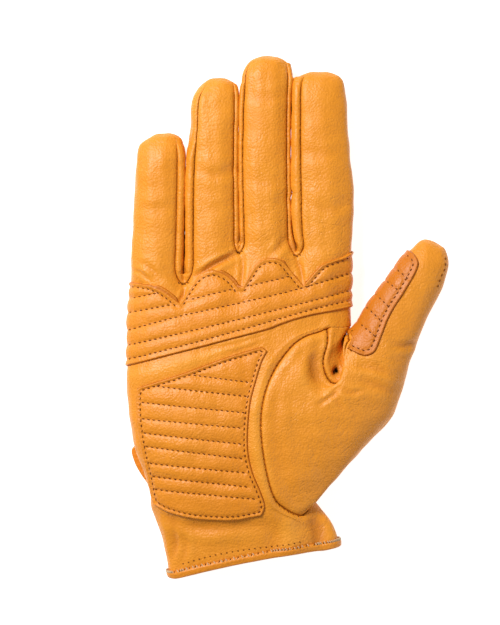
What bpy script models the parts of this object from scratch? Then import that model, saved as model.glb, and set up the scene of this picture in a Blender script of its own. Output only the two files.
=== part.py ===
"""Leather motorcycle glove for the right hand, lying on its back with the palm up.

The glove's skin is one net of four-sided faces: rings round the hand from the hem to the finger
roots, a tube for each finger, and a tube for the thumb that starts at the seam in the palm. Every
leather panel is a group of those faces, given the leather's thickness inwards and pulled back from
its neighbours by half a seam gap.
Metres, +X to the thumb side, +Y to the fingertips, +Z out of the palm.
"""

import bmesh
import bpy
import numpy as np

for old in list(bpy.data.objects):
    bpy.data.objects.remove(old)

# Sizes of the hand
HAND_LENGTH = 0.153
PALM_WIDTH = 0.107
PALM_HEIGHT = 0.027
FINGER_HEIGHT = 0.0195

# Finger lengths, from the finger roots to the tips
LITTLE_LENGTH = 0.0575
RING_LENGTH = 0.0835
MIDDLE_LENGTH = 0.0935
INDEX_LENGTH = 0.0865

# Sizes of the thumb, from its base section to its tip
THUMB_LENGTH = 0.0735
THUMB_WIDTH = 0.0385
THUMB_HEIGHT = 0.025
THUMB_TURN = 23.4

# Leather, seams and trims
LEATHER = 0.0013
PATCH_LEATHER = 0.0014
SEAM_GAP = 0.0003
FINGER_GAP = 0.0004
HEM_BOW = 0.0016
BINDING_LEATHER = 0.0008
BINDING_DEPTH = 0.0030
STRAP_LEATHER = 0.0016
STRAP_LENGTH = 0.058

# Faces across each finger and down each side of a section, whole numbers
FINGER_COLUMNS = 4
SIDE_COLUMNS = 4

# Colours as base colour, roughness
PANEL_LOOK = ((0.72, 0.36, 0.07), 0.55)
PATCH_LOOK = ((0.66, 0.31, 0.05), 0.5)
TRIM_LOOK = ((0.60, 0.27, 0.045), 0.55)

# Rows round the hand, hem first. Across is a share of PALM_WIDTH, along a share of HAND_LENGTH from
# the hem, high and low shares of PALM_HEIGHT. The corner is where the palm side ends: at the thumb it
# is the seam. Fingers is how far the section has become four finger roots.
HAND_ROWS = (
    # name, left across, along, edge across, along, corner across, along, high, low, fingers
    ("hem", 0.194, 0.011, 0.942, 0.108, 0.885, 0.100, 0.78, 0.08, 0.0),
    ("cuff low", 0.180, 0.080, 0.925, 0.150, 0.860, 0.135, 0.80, 0.02, 0.0),
    ("cuff high", 0.148, 0.160, 0.882, 0.200, 0.820, 0.172, 0.84, -0.05, 0.0),
    ("waist", 0.115, 0.218, 0.837, 0.240, 0.769, 0.200, 0.90, -0.07, 0.0),
    ("strap low", 0.112, 0.262, 0.855, 0.298, 0.705, 0.255, 0.94, -0.07, 0.0),
    ("strap mid", 0.084, 0.326, 0.881, 0.375, 0.650, 0.330, 0.98, -0.07, 0.0),
    ("strap high", 0.042, 0.412, 0.905, 0.455, 0.612, 0.425, 1.00, -0.07, 0.0),
    ("heel", 0.022, 0.498, 0.930, 0.545, 0.607, 0.525, 1.00, -0.08, 0.0),
    ("hollow", 0.009, 0.597, 0.956, 0.635, 0.655, 0.622, 0.96, -0.08, 0.0),
    ("thumb high", 0.012, 0.683, 0.978, 0.703, 0.738, 0.702, 0.93, -0.08, 0.0),
    ("notch", 0.014, 0.737, 0.991, 0.745, 0.812, 0.748, 0.90, -0.08, 0.0),
    ("thumb crotch", 0.015, 0.778, 1.000, 0.775, 0.888, 0.773, 0.87, -0.07, 0.0),
    ("band", 0.017, 0.818, 0.992, 0.825, 0.940, 0.820, 0.84, -0.06, 0.10),
    ("knuckle", 0.024, 0.865, 0.992, 0.888, 0.950, 0.874, 0.79, -0.03, 0.45),
    ("root", 0.028, 0.908, 0.995, 0.978, 0.955, 0.966, 0.72, 0.0, 1.0),
)
WAIST = 3
STRAP_ROWS = (4, 6)
THUMB_CROTCH = 11

# The glove's middle across the hand and the limit of the finger roots along it, shares of the palm
MIDDLE_ACROSS = 0.709
ROOTS_END = 1.06

# Where the crotches between two fingers lie, and their share of the palm side's columns
CROTCHES = (
    # across, along, share of the way from the left corner to the right corner
    (0.260, 0.908, 0.221),
    (0.504, 1.003, 0.490),
    (0.756, 0.994, 0.769),
)

# Each finger's edges. Up is a share of the way from root to tip, left and right are shares of PALM_WIDTH
LITTLE = (
    (0.08, 0.026, 0.261),
    (0.22, 0.026, 0.262),
    (0.45, 0.036, 0.264),
    (0.65, 0.043, 0.2655),
    (0.80, 0.050, 0.265),
    (0.89, 0.058, 0.261),
    (0.93, 0.072, 0.256),
    (0.968, 0.105, 0.246),
)
RING = (
    (0.06, 0.261, 0.503),
    (0.17, 0.264, 0.502),
    (0.35, 0.2655, 0.4995),
    (0.50, 0.268, 0.4985),
    (0.64, 0.2755, 0.499),
    (0.77, 0.285, 0.500),
    (0.88, 0.291, 0.501),
    (0.935, 0.315, 0.497),
    (0.968, 0.336, 0.489),
)
MIDDLE = (
    (0.05, 0.506, 0.743),
    (0.12, 0.505, 0.735),
    (0.25, 0.5035, 0.731),
    (0.42, 0.5005, 0.730),
    (0.60, 0.5015, 0.730),
    (0.76, 0.505, 0.732),
    (0.88, 0.511, 0.735),
    (0.935, 0.522, 0.734),
    (0.972, 0.543, 0.722),
)
INDEX = (
    (0.05, 0.745, 0.999),
    (0.12, 0.738, 1.003),
    (0.25, 0.7335, 1.007),
    (0.40, 0.7315, 1.007),
    (0.55, 0.7315, 0.994),
    (0.70, 0.7325, 0.985),
    (0.83, 0.735, 0.978),
    (0.92, 0.741, 0.967),
    (0.968, 0.763, 0.947),
)
FINGERS = (
    ("little", LITTLE_LENGTH, LITTLE),
    ("ring", RING_LENGTH, RING),
    ("middle", MIDDLE_LENGTH, MIDDLE),
    ("index", INDEX_LENGTH, INDEX),
)

# Half height and middle height of a finger's section, shares of FINGER_HEIGHT
FINGER_SECTIONS = (
    # up, half height, middle
    (0.00, 0.500, 0.500),
    (0.50, 0.470, 0.470),
    (0.80, 0.435, 0.440),
    (0.90, 0.385, 0.430),
    (0.96, 0.290, 0.420),
    (1.00, 0.190, 0.410),
)

# Path of the gusset's front corner from the thumb crotch round the bottom of the notch, then on to the thumb
NOTCH = (
    # across, along as shares of the palm, height as a share of PALM_HEIGHT
    (0.890, 0.722, 0.86),
    (0.870, 0.665, 0.86),
    (0.905, 0.607, 0.87),
    (0.945, 0.618, 0.87),
    (0.968, 0.668, 0.86),
)

# Thumb sections from the base to the tip
THUMB_BASE = (1.075, 0.603)
THUMB_ROWS = (
    # along, sideways as shares of THUMB_LENGTH, width of THUMB_WIDTH, turn in degrees, height of THUMB_HEIGHT
    (0.050, -0.004, 1.120, -40.0, 1.00),
    (0.188, -0.009, 0.940, -30.0, 0.96),
    (0.328, -0.014, 0.835, -24.4, 0.91),
    (0.497, -0.003, 0.740, -23.0, 0.86),
    (0.655, 0.016, 0.655, -20.0, 0.80),
    (0.802, 0.032, 0.590, -11.0, 0.72),
    (0.905, 0.036, 0.485, -2.0, 0.56),
    (0.965, 0.022, 0.350, 5.0, 0.38),
)
THUMB_MIDDLE = 0.53

# How far the thumb's tip leans, sideways as a share of THUMB_LENGTH
THUMB_TIP_LEAN = 0.01

# Folds and dents of the palm side: a groove between two places, or a ridge where the depth is negative
FOLDS = (
    # from across, along, to across, along, half width of PALM_WIDTH, depth of PALM_HEIGHT
    (0.500, 0.975, 0.330, 0.925, 0.055, 0.060),
    (0.040, 0.925, 0.220, 0.930, 0.050, 0.060),
    (0.690, 1.030, 0.640, 0.985, 0.050, 0.045),
    (0.835, 0.700, 0.830, 0.600, 0.050, 0.050),
    (0.960, 0.600, 1.200, 0.560, 0.055, 0.060),
    (0.720, 0.080, 0.730, 0.200, 0.060, -0.050),
    (0.120, 0.250, 0.350, 0.270, 0.060, 0.060),
    (0.330, 0.500, 0.430, 0.420, 0.110, -0.040),
    (0.700, 0.480, 0.760, 0.360, 0.110, -0.060),
)

# Roundness of the sections, 2 is an ellipse and more is squarer
HAND_POWER = 2.6
FINGER_POWER = 2.3
THUMB_POWER = 2.2
DOME_POWER = 2.0

# Where the front of a section ends, as a share of its half width, and of the hand at its left side
CORNER_SHARE = 0.84
LEFT_CORNER = 0.042
STEEPEST_CORNER = 0.97

# Limits on how far a corner point may move for the leather's thickness, the seam gap and a patch
LEATHER_LIMIT = 1.6
SEAM_LIMIT = 1.5
PATCH_LIMIT = 0.4

# The lowest the patches reach down the sides: the band and the heel as shares of PALM_HEIGHT, the
# thumb as a share of THUMB_HEIGHT
BAND_FLOOR = 0.20
HEEL_FLOOR = 0.30
THUMB_FLOOR = 0.58

# Points of the patch outline between two knots, a whole number
OUTLINE_STEPS = 2

# Outlines of the patches, across as a share of PALM_WIDTH and along as a share of HAND_LENGTH
BAND_TOP = (
    (-0.10, 0.920), (0.028, 0.914), (0.118, 0.905), (0.180, 0.885), (0.240, 0.850), (0.262, 0.862),
    (0.290, 0.905), (0.330, 0.936), (0.385, 0.949), (0.440, 0.938), (0.482, 0.912), (0.507, 0.888),
    (0.535, 0.925), (0.575, 0.965), (0.630, 0.985), (0.690, 0.978), (0.735, 0.940), (0.770, 0.905),
    (0.788, 0.902), (0.820, 0.935), (0.862, 0.968), (0.910, 0.984), (0.960, 0.996), (1.10, 1.020),
)
BAND_BOTTOM = (
    (1.10, 0.822), (0.995, 0.839), (0.942, 0.827), (0.810, 0.812), (0.694, 0.791), (0.577, 0.755),
    (0.300, 0.707), (0.010, 0.655), (-0.10, 0.635),
)
HEEL_OUTLINE = (
    (0.060, 0.574), (0.086, 0.594), (0.275, 0.640), (0.427, 0.680), (0.541, 0.705), (0.593, 0.714),
    (0.626, 0.704), (0.601, 0.665), (0.577, 0.609), (0.555, 0.548), (0.545, 0.474), (0.545, 0.400),
    (0.564, 0.335), (0.595, 0.283), (0.615, 0.234), (0.601, 0.203), (0.465, 0.189), (0.313, 0.194),
    (0.198, 0.212), (0.140, 0.234), (0.120, 0.262), (0.101, 0.329), (0.078, 0.400), (0.062, 0.474),
    (0.055, 0.535),
)
# Outline of the thumb's patch: up the thumb and sideways, shares of THUMB_LENGTH from the thumb's base
THUMB_OUTLINE = (
    (0.165, -0.203), (0.120, -0.130), (0.120, -0.070), (0.185, -0.045), (0.270, -0.048), (0.380, -0.048),
    (0.465, -0.040), (0.570, -0.030), (0.680, -0.015), (0.800, 0.000), (0.870, 0.000), (0.920, -0.020),
    (0.950, -0.070), (0.955, -0.250), (0.600, -0.300), (0.420, -0.260), (0.300, -0.212),
)
# The strap's free end beyond the little-finger edge, as shares of the strap's width and of PALM_WIDTH
STRAP_END = ((0.05, 0.110), (0.35, 0.070), (0.75, 0.032), (0.92, 0.028), (1.00, 0.045))
STRAP_INSET = 0.04


def plan(across, along):
    """Place in the plan of the hand, with the origin at the middle of the whole glove."""
    return np.array([PALM_WIDTH * (across - MIDDLE_ACROSS), HAND_LENGTH * along + PLAN_START])


def unit(v):
    """The vector or rows of vectors at length one."""
    length = np.linalg.norm(v, axis=-1, keepdims=True)
    return v / np.maximum(length, 1e-12)


def arch(share, power):
    """Height of a section over its middle at a share of its half width, from one to zero at the edge."""
    return (1.0 - np.minimum(np.abs(share), 1.0) ** power) ** (1.0 / power)


def side_shares(corner, power, columns):
    """Across and height shares of the points down a rounded side between its two corners."""
    angle = np.arccos(corner ** (power / 2.0)) * np.linspace(1.0, -1.0, columns + 1)[1:-1]
    return np.cos(angle) ** (2.0 / power), np.sign(angle) * np.abs(np.sin(angle)) ** (2.0 / power)


def resting(points, floor=0.0):
    """The points with those under the surface that the glove lies on lifted to it."""
    points[:, 2] = np.maximum(points[:, 2], floor)
    return points


# The glove's middle lies at the origin
PLAN_START = -(HAND_LENGTH + MIDDLE_LENGTH) / 2.0

points = []
patches = {}


def add(array):
    """Adds points to the skin and gives their numbers."""
    start = len(points)
    points.extend(np.asarray(array, float))
    return list(range(start, start + len(array)))


def face(panel, *corners):
    """Adds one face of the skin to a panel, leaving out a corner that is named twice."""
    corners = [c for i, c in enumerate(corners) if c != corners[i - 1]]
    patches.setdefault(panel, []).append(corners)


def strip(panel, lower, upper):
    """Adds the faces between two rows of point numbers."""
    for k in range(len(lower) - 1):
        face(panel, lower[k], lower[k + 1], upper[k + 1], upper[k])


# Rings round the hand
COLUMNS = 4 * FINGER_COLUMNS
HALF = SIDE_COLUMNS // 2
splits = np.array([0.0] + [c[2] for c in CROTCHES] + [1.0])
column_share = np.concatenate([
    np.linspace(splits[i], splits[i + 1], FINGER_COLUMNS + 1)[(i > 0):] for i in range(4)
])


def finger_arch(share):
    """Height of the four finger fronts side by side, over the middle, at shares between the corners."""
    finger = np.clip(np.searchsorted(splits, share, side="right") - 1, 0, 3)
    middle = (splits[finger] + splits[finger + 1]) / 2.0
    half = (splits[finger + 1] - splits[finger]) / 2.0
    return arch(CORNER_SHARE * (share - middle) / half, FINGER_POWER)


def hand_ring(row):
    """Top, right, bottom and left points of one ring. The right side is empty where the thumb is sewn in."""
    name, lx, ly, ex, ey, cx, cy, high, low, fingers = HAND_ROWS[row]
    open_side = WAIST < row < THUMB_CROTCH
    left, edge, corner = plan(lx, ly), plan(ex, ey), plan(cx, cy)
    first = plan(lx + LEFT_CORNER * (ex - lx), ly)
    top_z, low_z = high * PALM_HEIGHT, low * PALM_HEIGHT
    top_z += fingers * (FINGER_HEIGHT - top_z)
    floor = STRAP_LEATHER + SEAM_GAP if STRAP_ROWS[0] <= row <= STRAP_ROWS[1] else 0.0
    middle, half = (top_z + low_z) / 2.0, (top_z - low_z) / 2.0
    centre, width = (left[0] + edge[0]) / 2.0, (edge[0] - left[0]) / 2.0

    def place(end):
        """The columns between the left corner and a right corner, bent to the crotches near the fingers."""
        flat = first + column_share[:, None] * (end - first)
        if name == "hem":
            flat[:, 1] += HEM_BOW * 4.0 * column_share * (1.0 - column_share)
        if fingers:
            knots = np.array([first] + [plan(c[0], c[1]) for c in CROTCHES] + [end])
            bent = np.stack([np.interp(column_share, splits, knots[:, k]) for k in (0, 1)], axis=1)
            flat = flat + fingers * (bent - flat)
        return flat

    def heights(flat):
        """Share of the half height over the middle, from the hand's section to the fingers' sections."""
        plain = arch((flat[:, 0] - centre) / width, HAND_POWER)
        return plain + fingers * (finger_arch(column_share) - plain)

    back = BACK_SEAM[row]
    top, bottom = place(corner), place(back)
    top_h, bottom_h = heights(top), heights(bottom)
    rows = [np.column_stack([top, middle + half * top_h])]
    for flat, shares, side in ((corner, top_h[-1], 1), (first, top_h[0], -1)):
        end = edge if side > 0 else left
        reach = min(abs(flat[0] - centre) / width, STEEPEST_CORNER)
        out, up = side_shares(reach, HAND_POWER, SIDE_COLUMNS)
        if fingers:
            up = up * shares / arch(reach, HAND_POWER)
        blend = ((out - reach) / (1.0 - reach))[:, None]
        spot = flat + blend * (end - flat)
        rows.append(np.column_stack([spot, middle + half * up]))
    right, left_side = rows[1], rows[2]
    low_points = np.column_stack([bottom, middle - half * bottom_h])
    ring = [resting(rows[0], floor), resting(right, floor), resting(low_points[::-1], floor),
            resting(left_side[::-1], floor)]
    if open_side:
        ring[1] = np.zeros((0, 3))
    return ring


# The seam between back and thumb runs straight from the waist's corner to the thumb crotch's corner
BACK_SEAM = []
for row, entry in enumerate(HAND_ROWS):
    if WAIST < row < THUMB_CROTCH:
        low_end, high_end = HAND_ROWS[WAIST], HAND_ROWS[THUMB_CROTCH]
        share = (entry[6] - low_end[6]) / (high_end[6] - low_end[6])
        BACK_SEAM.append(plan(low_end[5] + share * (high_end[5] - low_end[5]), entry[6]))
    else:
        BACK_SEAM.append(plan(entry[5], entry[6]))

rings = []
for row in range(len(HAND_ROWS)):
    rings.append([add(part) for part in hand_ring(row)])

for row in range(len(HAND_ROWS) - 1):
    (top, right, bottom, left), (top2, right2, bottom2, left2) = rings[row], rings[row + 1]
    strip("palm_panel", top, top2)
    strip("back_panel", bottom, bottom2)
    below, above = [bottom[-1]] + left + [top[0]], [bottom2[-1]] + left2 + [top2[0]]
    strip("back_panel", below[:HALF + 1], above[:HALF + 1])
    strip("palm_panel", below[HALF:], above[HALF:])
    if right and right2:
        below, above = [top[-1]] + right + [bottom[0]], [top2[-1]] + right2 + [bottom2[0]]
        strip("palm_panel", below[:HALF + 1], above[:HALF + 1])
        strip("back_panel", below[HALF:], above[HALF:])

# Fingers
root_top, root_right, root_bottom, root_left = rings[-1]
webs = []
for k in range(3):
    upper, lower = root_top[FINGER_COLUMNS * (k + 1)], root_bottom[COLUMNS - FINGER_COLUMNS * (k + 1)]
    share = np.linspace(0.0, 1.0, SIDE_COLUMNS + 1)[1:-1, None]
    web = points[upper] + share * (points[lower] - points[upper])
    webs.append(add(web))

sections = np.array(FINGER_SECTIONS)
for k, (name, length, table) in enumerate(FINGERS):
    first = FINGER_COLUMNS * k
    top = root_top[first:first + FINGER_COLUMNS + 1]
    bottom = root_bottom[COLUMNS - first - FINGER_COLUMNS:COLUMNS - first + 1]
    right = webs[k] if k < 3 else root_right
    left = webs[k - 1][::-1] if k > 0 else root_left
    ring = [top, right, bottom, left]
    root = np.array([points[i] for i in top])
    tip = plan(0.0, 1.0)[1] + length
    for up, left_edge, right_edge in table:
        half_h = np.interp(up, sections[:, 0], sections[:, 1]) * FINGER_HEIGHT
        mid_h = np.interp(up, sections[:, 0], sections[:, 2]) * FINGER_HEIGHT
        x0 = plan(left_edge, 0.0)[0] + (FINGER_GAP / 2.0 if k > 0 else 0.0)
        x1 = plan(right_edge, 0.0)[0] - (FINGER_GAP / 2.0 if k < 3 else 0.0)
        centre, half_w = (x0 + x1) / 2.0, (x1 - x0) / 2.0
        across = np.linspace(-CORNER_SHARE, CORNER_SHARE, FINGER_COLUMNS + 1)
        out, rise = side_shares(CORNER_SHARE, FINGER_POWER, SIDE_COLUMNS)
        y = root[:, 1] + up * (tip - root[:, 1])
        new_top = np.column_stack([centre + half_w * across, y, mid_h + half_h * arch(across, FINGER_POWER)])
        new_bottom = new_top * (1, 1, -1) + (0, 0, 2.0 * mid_h)
        new_right = np.column_stack([centre + half_w * out, np.full(len(out), y[-1]), mid_h + half_h * rise])
        new_left = np.column_stack([centre - half_w * out, np.full(len(out), y[0]), mid_h + half_h * rise])
        new = [add(resting(part)) for part in (new_top, new_right, new_bottom[::-1], new_left[::-1])]
        strip("palm_panel", ring[0], new[0])
        strip("back_panel", ring[2], new[2])
        side, side2 = [ring[0][-1]] + ring[1] + [ring[2][0]], [new[0][-1]] + new[1] + [new[2][0]]
        if k < 3:
            strip("fourchette_%s_%s" % (name, FINGERS[k + 1][0]), side, side2)
        else:
            strip("palm_panel", side[:HALF + 1], side2[:HALF + 1])
            strip("back_panel", side[HALF:], side2[HALF:])
        side, side2 = [ring[2][-1]] + ring[3] + [ring[0][0]], [new[2][-1]] + new[3] + [new[0][0]]
        if k > 0:
            strip("fourchette_%s_%s" % (FINGERS[k - 1][0], name), side, side2)
        else:
            strip("back_panel", side[:HALF + 1], side2[:HALF + 1])
            strip("palm_panel", side[HALF:], side2[HALF:])
        ring = new
    # Rounded end: a net from the top row to the bottom row of the last ring
    top, right, bottom, left = ring
    rows = [top]
    for r in range(1, SIDE_COLUMNS):
        a, b = points[left[SIDE_COLUMNS - 1 - r]], points[right[r - 1]]
        share = np.linspace(0.0, 1.0, FINGER_COLUMNS + 1)[1:-1, None]
        row = a + share * (b - a)
        dome = arch(2.0 * r / SIDE_COLUMNS - 1.0, DOME_POWER) * arch(2.0 * share[:, 0] - 1.0, DOME_POWER)
        row[:, 1] += dome * (tip - row[:, 1])
        rows.append([left[SIDE_COLUMNS - 1 - r]] + add(row) + [right[r - 1]])
    rows.append(bottom[::-1])
    for r in range(SIDE_COLUMNS):
        strip("palm_panel" if r < HALF else "back_panel", rows[r], rows[r + 1])

# Thumb: the first ring is the edge of the hole in the hand
low, high = WAIST, THUMB_CROTCH
front = [rings[row][0][-1] for row in range(high, low - 1, -1)]
back = [rings[row][2][0] for row in range(low, high + 1)]
outer = rings[low][1]
inner = rings[high][1][::-1]
ring = [front, outer, back, inner]
thumb_columns = high - low
base = plan(*THUMB_BASE)
turn = np.radians(THUMB_TURN)
thumb_up = np.array([np.sin(turn), np.cos(turn)])
thumb_side = np.array([np.cos(turn), -np.sin(turn)])


def thumb_ring(along, sideways, width, degrees, height):
    """One section of the thumb in the order front, outer side, back, inner side."""
    centre = base + THUMB_LENGTH * (along * thumb_up + sideways * thumb_side)
    a = -turn + np.radians(degrees)
    across_way = np.array([np.cos(a), np.sin(a)])
    half_w, half_h = width * THUMB_WIDTH / 2.0, height * THUMB_HEIGHT / 2.0
    across = np.linspace(-CORNER_SHARE, CORNER_SHARE, thumb_columns + 1)
    out, rise = side_shares(CORNER_SHARE, THUMB_POWER, SIDE_COLUMNS)
    z = THUMB_MIDDLE * THUMB_HEIGHT

    def lay(share, up):
        return np.column_stack([centre + half_w * share[:, None] * across_way, z + half_h * up])

    top = lay(across, arch(across, THUMB_POWER))
    bottom = lay(across[::-1], -arch(across, THUMB_POWER)[::-1])
    return [top, lay(out, rise), bottom, lay(-out, -rise)]


base_ring = thumb_ring(*THUMB_ROWS[0])
hole = [np.array([points[i] for i in part]) for part in ring]
steps = len(NOTCH) + 1
for step in range(1, steps):
    share = step / steps
    blended = [a + share * (b - a) for a, b in zip(hole, base_ring)]
    # The front corner follows the notch, and the columns beside it follow less and less
    fade = np.linspace(1.0, 0.0, thumb_columns + 1)[:, None]
    x, y = plan(NOTCH[step - 1][0], NOTCH[step - 1][1])
    corner = np.array([x, y, NOTCH[step - 1][2] * PALM_HEIGHT])
    shift = corner - blended[0][0]
    blended[0] = blended[0] + fade * shift
    side_fade = np.linspace(-1.0, 1.0, SIDE_COLUMNS + 1)[1:-1, None]
    blended[3] = blended[3] + (0.5 + 0.5 * side_fade) ** 2 * shift
    new = [add(resting(part)) for part in blended]
    strip("thumb_piece", ring[0], new[0])
    strip("thumb_piece", [ring[0][-1]] + ring[1] + [ring[2][0]], [new[0][-1]] + new[1] + [new[2][0]])
    strip("thumb_piece", ring[2], new[2])
    strip("thumb_gusset", [ring[2][-1]] + ring[3] + [ring[0][0]], [new[2][-1]] + new[3] + [new[0][0]])
    ring = new
for entry in THUMB_ROWS:
    new = [add(resting(part)) for part in thumb_ring(*entry)]
    strip("thumb_piece", ring[0], new[0])
    strip("thumb_piece", [ring[0][-1]] + ring[1] + [ring[2][0]], [new[0][-1]] + new[1] + [new[2][0]])
    strip("thumb_piece", ring[2], new[2])
    last = "thumb_gusset" if entry is THUMB_ROWS[0] else "thumb_piece"
    strip(last, [ring[2][-1]] + ring[3] + [ring[0][0]], [new[2][-1]] + new[3] + [new[0][0]])
    ring = new
top, right, bottom, left = ring
end = base + THUMB_LENGTH * (thumb_up + THUMB_TIP_LEAN * thumb_side)
rows = [top]
for r in range(1, SIDE_COLUMNS):
    a, b = points[left[SIDE_COLUMNS - 1 - r]], points[right[r - 1]]
    share = np.linspace(0.0, 1.0, thumb_columns + 1)[1:-1, None]
    row = a + share * (b - a)
    dome = arch(2.0 * r / SIDE_COLUMNS - 1.0, DOME_POWER) * arch(2.0 * share[:, 0] - 1.0, DOME_POWER)
    reach = (end - row[:, :2]) @ thumb_up
    row[:, :2] += (dome * reach)[:, None] * thumb_up
    rows.append([left[SIDE_COLUMNS - 1 - r]] + add(row) + [right[r - 1]])
rows.append(bottom[::-1])
for r in range(SIDE_COLUMNS):
    strip("thumb_piece", rows[r], rows[r + 1])

skin = np.array(points)

# Folds and dents of the palm side
upper = skin[:, 2] > PALM_HEIGHT / 2.0
for from_across, from_along, to_across, to_along, half_width, depth in FOLDS:
    start, end = plan(from_across, from_along), plan(to_across, to_along)
    share = np.clip((skin[:, :2] - start) @ (end - start) / np.sum((end - start) ** 2), 0.0, 1.0)
    away = np.linalg.norm(skin[:, :2] - start - share[:, None] * (end - start), axis=1)
    skin[upper, 2] -= depth * PALM_HEIGHT * np.exp(-(away[upper] / (half_width * PALM_WIDTH)) ** 2)

# Each four-sided face is split along its shorter diagonal, so that neighbours and patches share facets
for panel, faces in patches.items():
    split = []
    for corners in faces:
        if len(corners) == 3:
            split.append(corners)
            continue
        a, b, c, d = corners
        if np.linalg.norm(skin[a] - skin[c]) <= np.linalg.norm(skin[b] - skin[d]):
            split += [[a, b, c], [a, c, d]]
        else:
            split += [[a, b, d], [b, c, d]]
    patches[panel] = split


def normal_of(corners):
    """Unit normal of one face of the skin."""
    ring_points = skin[list(corners)]
    total = np.zeros(3)
    for i in range(len(corners)):
        total += np.cross(ring_points[i - 1], ring_points[i])
    return unit(total)


# Average direction of each panel at each point, and the way from the outer to the inner face of the leather
panel_normals = {}
for panel, faces in patches.items():
    for corners in faces:
        n = normal_of(corners)
        for c in corners:
            panel_normals.setdefault(c, {}).setdefault(panel, []).append(n)
inward = np.zeros_like(skin)
outward = np.zeros_like(skin)
clearing = np.zeros_like(skin)
for c, by_panel in panel_normals.items():
    directions = np.array([unit(np.sum(ns, axis=0)) for ns in by_panel.values()])
    way = np.linalg.pinv(directions, rcond=0.02) @ np.full(len(directions), 1.0)
    way *= min(1.0, LEATHER_LIMIT / np.linalg.norm(way))
    inward[c] = -LEATHER * way
    outward[c] = unit(np.sum([np.sum(ns, axis=0) for ns in by_panel.values()], axis=0))
    nearest = min(float(n @ outward[c]) for ns in by_panel.values() for n in ns)
    clearing[c] = SEAM_GAP * outward[c] / max(nearest, PATCH_LIMIT)


def look(name, settings):
    """A leather material with its colour and roughness."""
    colour, rough = settings
    material = bpy.data.materials.new(name)
    material.use_nodes = True
    shader = material.node_tree.nodes["Principled BSDF"]
    shader.inputs["Base Color"].default_value = (*colour, 1.0)
    shader.inputs["Roughness"].default_value = rough
    return material


def make(name, verts, faces, settings):
    """One named object from points and faces, with its faces turned outwards and shaded smooth."""
    mesh = bpy.data.meshes.new(name)
    mesh.from_pydata([tuple(v) for v in verts], [], [list(f) for f in faces])
    work = bmesh.new()
    work.from_mesh(mesh)
    bmesh.ops.recalc_face_normals(work, faces=work.faces)
    work.to_mesh(mesh)
    work.free()
    mesh.shade_smooth()
    mesh.set_sharp_from_angle(angle=0.7)
    mesh.materials.append(look(name + "_leather", settings))
    piece = bpy.data.objects.new(name, mesh)
    bpy.context.collection.objects.link(piece)
    return piece


def edges_of(faces):
    """Each edge that only one face of the group has, in that face's direction, with the face."""
    seen = {}
    for corners in faces:
        for i in range(len(corners)):
            edge = (corners[i - 1], corners[i])
            seen.setdefault(frozenset(edge), []).append((*edge, corners))
    return [found[0] for found in seen.values() if len(found) == 1]


def closed(faces, outer, inner, edges):
    """Points and faces of a closed sheet between an outer and an inner copy of the same faces."""
    used = sorted({c for corners in faces for c in corners})
    number = {c: i for i, c in enumerate(used)}
    count = len(used)
    verts = [outer[c] for c in used] + [inner[c] for c in used]
    sheet = [[number[c] for c in corners] for corners in faces]
    sheet += [[number[c] + count for c in reversed(corners)] for corners in faces]
    for a, b, _ in edges:
        a, b = number[a], number[b]
        # Both panels at a seam split the leather's edge the same way, so the two cut edges stay parallel
        if a < b:
            sheet += [[b, a, b + count], [a, a + count, b + count]]
        else:
            sheet += [[b, a, a + count], [b, a + count, b + count]]
    return verts, sheet


def panel_piece(name, settings):
    """A leather panel: its faces of the skin, pulled back at its edges by half the seam gap."""
    faces = patches[name]
    edges = edges_of(faces)
    ways = {}
    for a, b, corners in edges:
        along = unit(skin[b] - skin[a])
        into = np.cross(normal_of(corners), along)
        if into @ (skin[list(corners)].mean(axis=0) - skin[a]) < 0.0:
            into = -into
        for c in (a, b):
            ways.setdefault(c, []).append(into)
    pull = {}
    for c, into in ways.items():
        way = np.linalg.pinv(np.array(into), rcond=0.2) @ np.full(len(into), SEAM_GAP / 2.0)
        pull[c] = way * min(1.0, SEAM_LIMIT * SEAM_GAP / np.linalg.norm(way))
    outer = {c: skin[c] + pull.get(c, 0.0) for corners in faces for c in corners}
    inner = {c: outer[c] + inward[c] for c in outer}
    return make(name, *closed(faces, outer, inner, edges), settings)


panel_piece("palm_panel", PANEL_LOOK)
panel_piece("back_panel", PANEL_LOOK)
for k in range(3):
    panel_piece("fourchette_%s_%s" % (FINGERS[k][0], FINGERS[k + 1][0]), PANEL_LOOK)
panel_piece("thumb_piece", PANEL_LOOK)
panel_piece("thumb_gusset", PANEL_LOOK)


def smooth_loop(knots, steps):
    """A closed curve through the knots, rounded between them."""
    knots = np.asarray(knots, float)
    before, after, later = np.roll(knots, 1, axis=0), np.roll(knots, -1, axis=0), np.roll(knots, -2, axis=0)
    t = np.arange(steps)[None, :, None] / steps
    a, b, c, d = before[:, None], knots[:, None], after[:, None], later[:, None]
    curve = 0.5 * (2 * b + (c - a) * t + (2 * a - 5 * b + 4 * c - d) * t**2 + (3 * b - 3 * c + d - a) * t**3)
    return curve.reshape(-1, knots.shape[1])


def prism(outline, bottom, top):
    """Points and faces of a closed upright solid between two heights."""
    count = len(outline)
    verts = [(x, y, z) for z in (bottom, top) for x, y in outline]
    sides = [[i, (i + 1) % count, (i + 1) % count + count, i + count] for i in range(count)]
    return verts, sides + [list(range(count))[::-1], list(range(count, 2 * count))]


def patch_piece(name, faces, outline, floor, settings):
    """A patch of leather on the skin: a sheet over the faces, cut to the outline seen from above."""
    low = {c: skin[c] + clearing[c] for corners in faces for c in corners}
    high = {c: low[c] + PATCH_LEATHER * outward[c] for c in low}
    piece = make(name, *closed(faces, high, low, edges_of(faces)), settings)
    cutter = make(name + "_outline", *prism(outline, floor, 2.0 * PALM_HEIGHT), settings)
    cutter.hide_render = True
    cutter.display_type = "WIRE"
    cut = piece.modifiers.new("outline", "BOOLEAN")
    cut.operation = "INTERSECT"
    cut.solver = "EXACT"
    cut.object = cutter
    return piece


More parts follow.
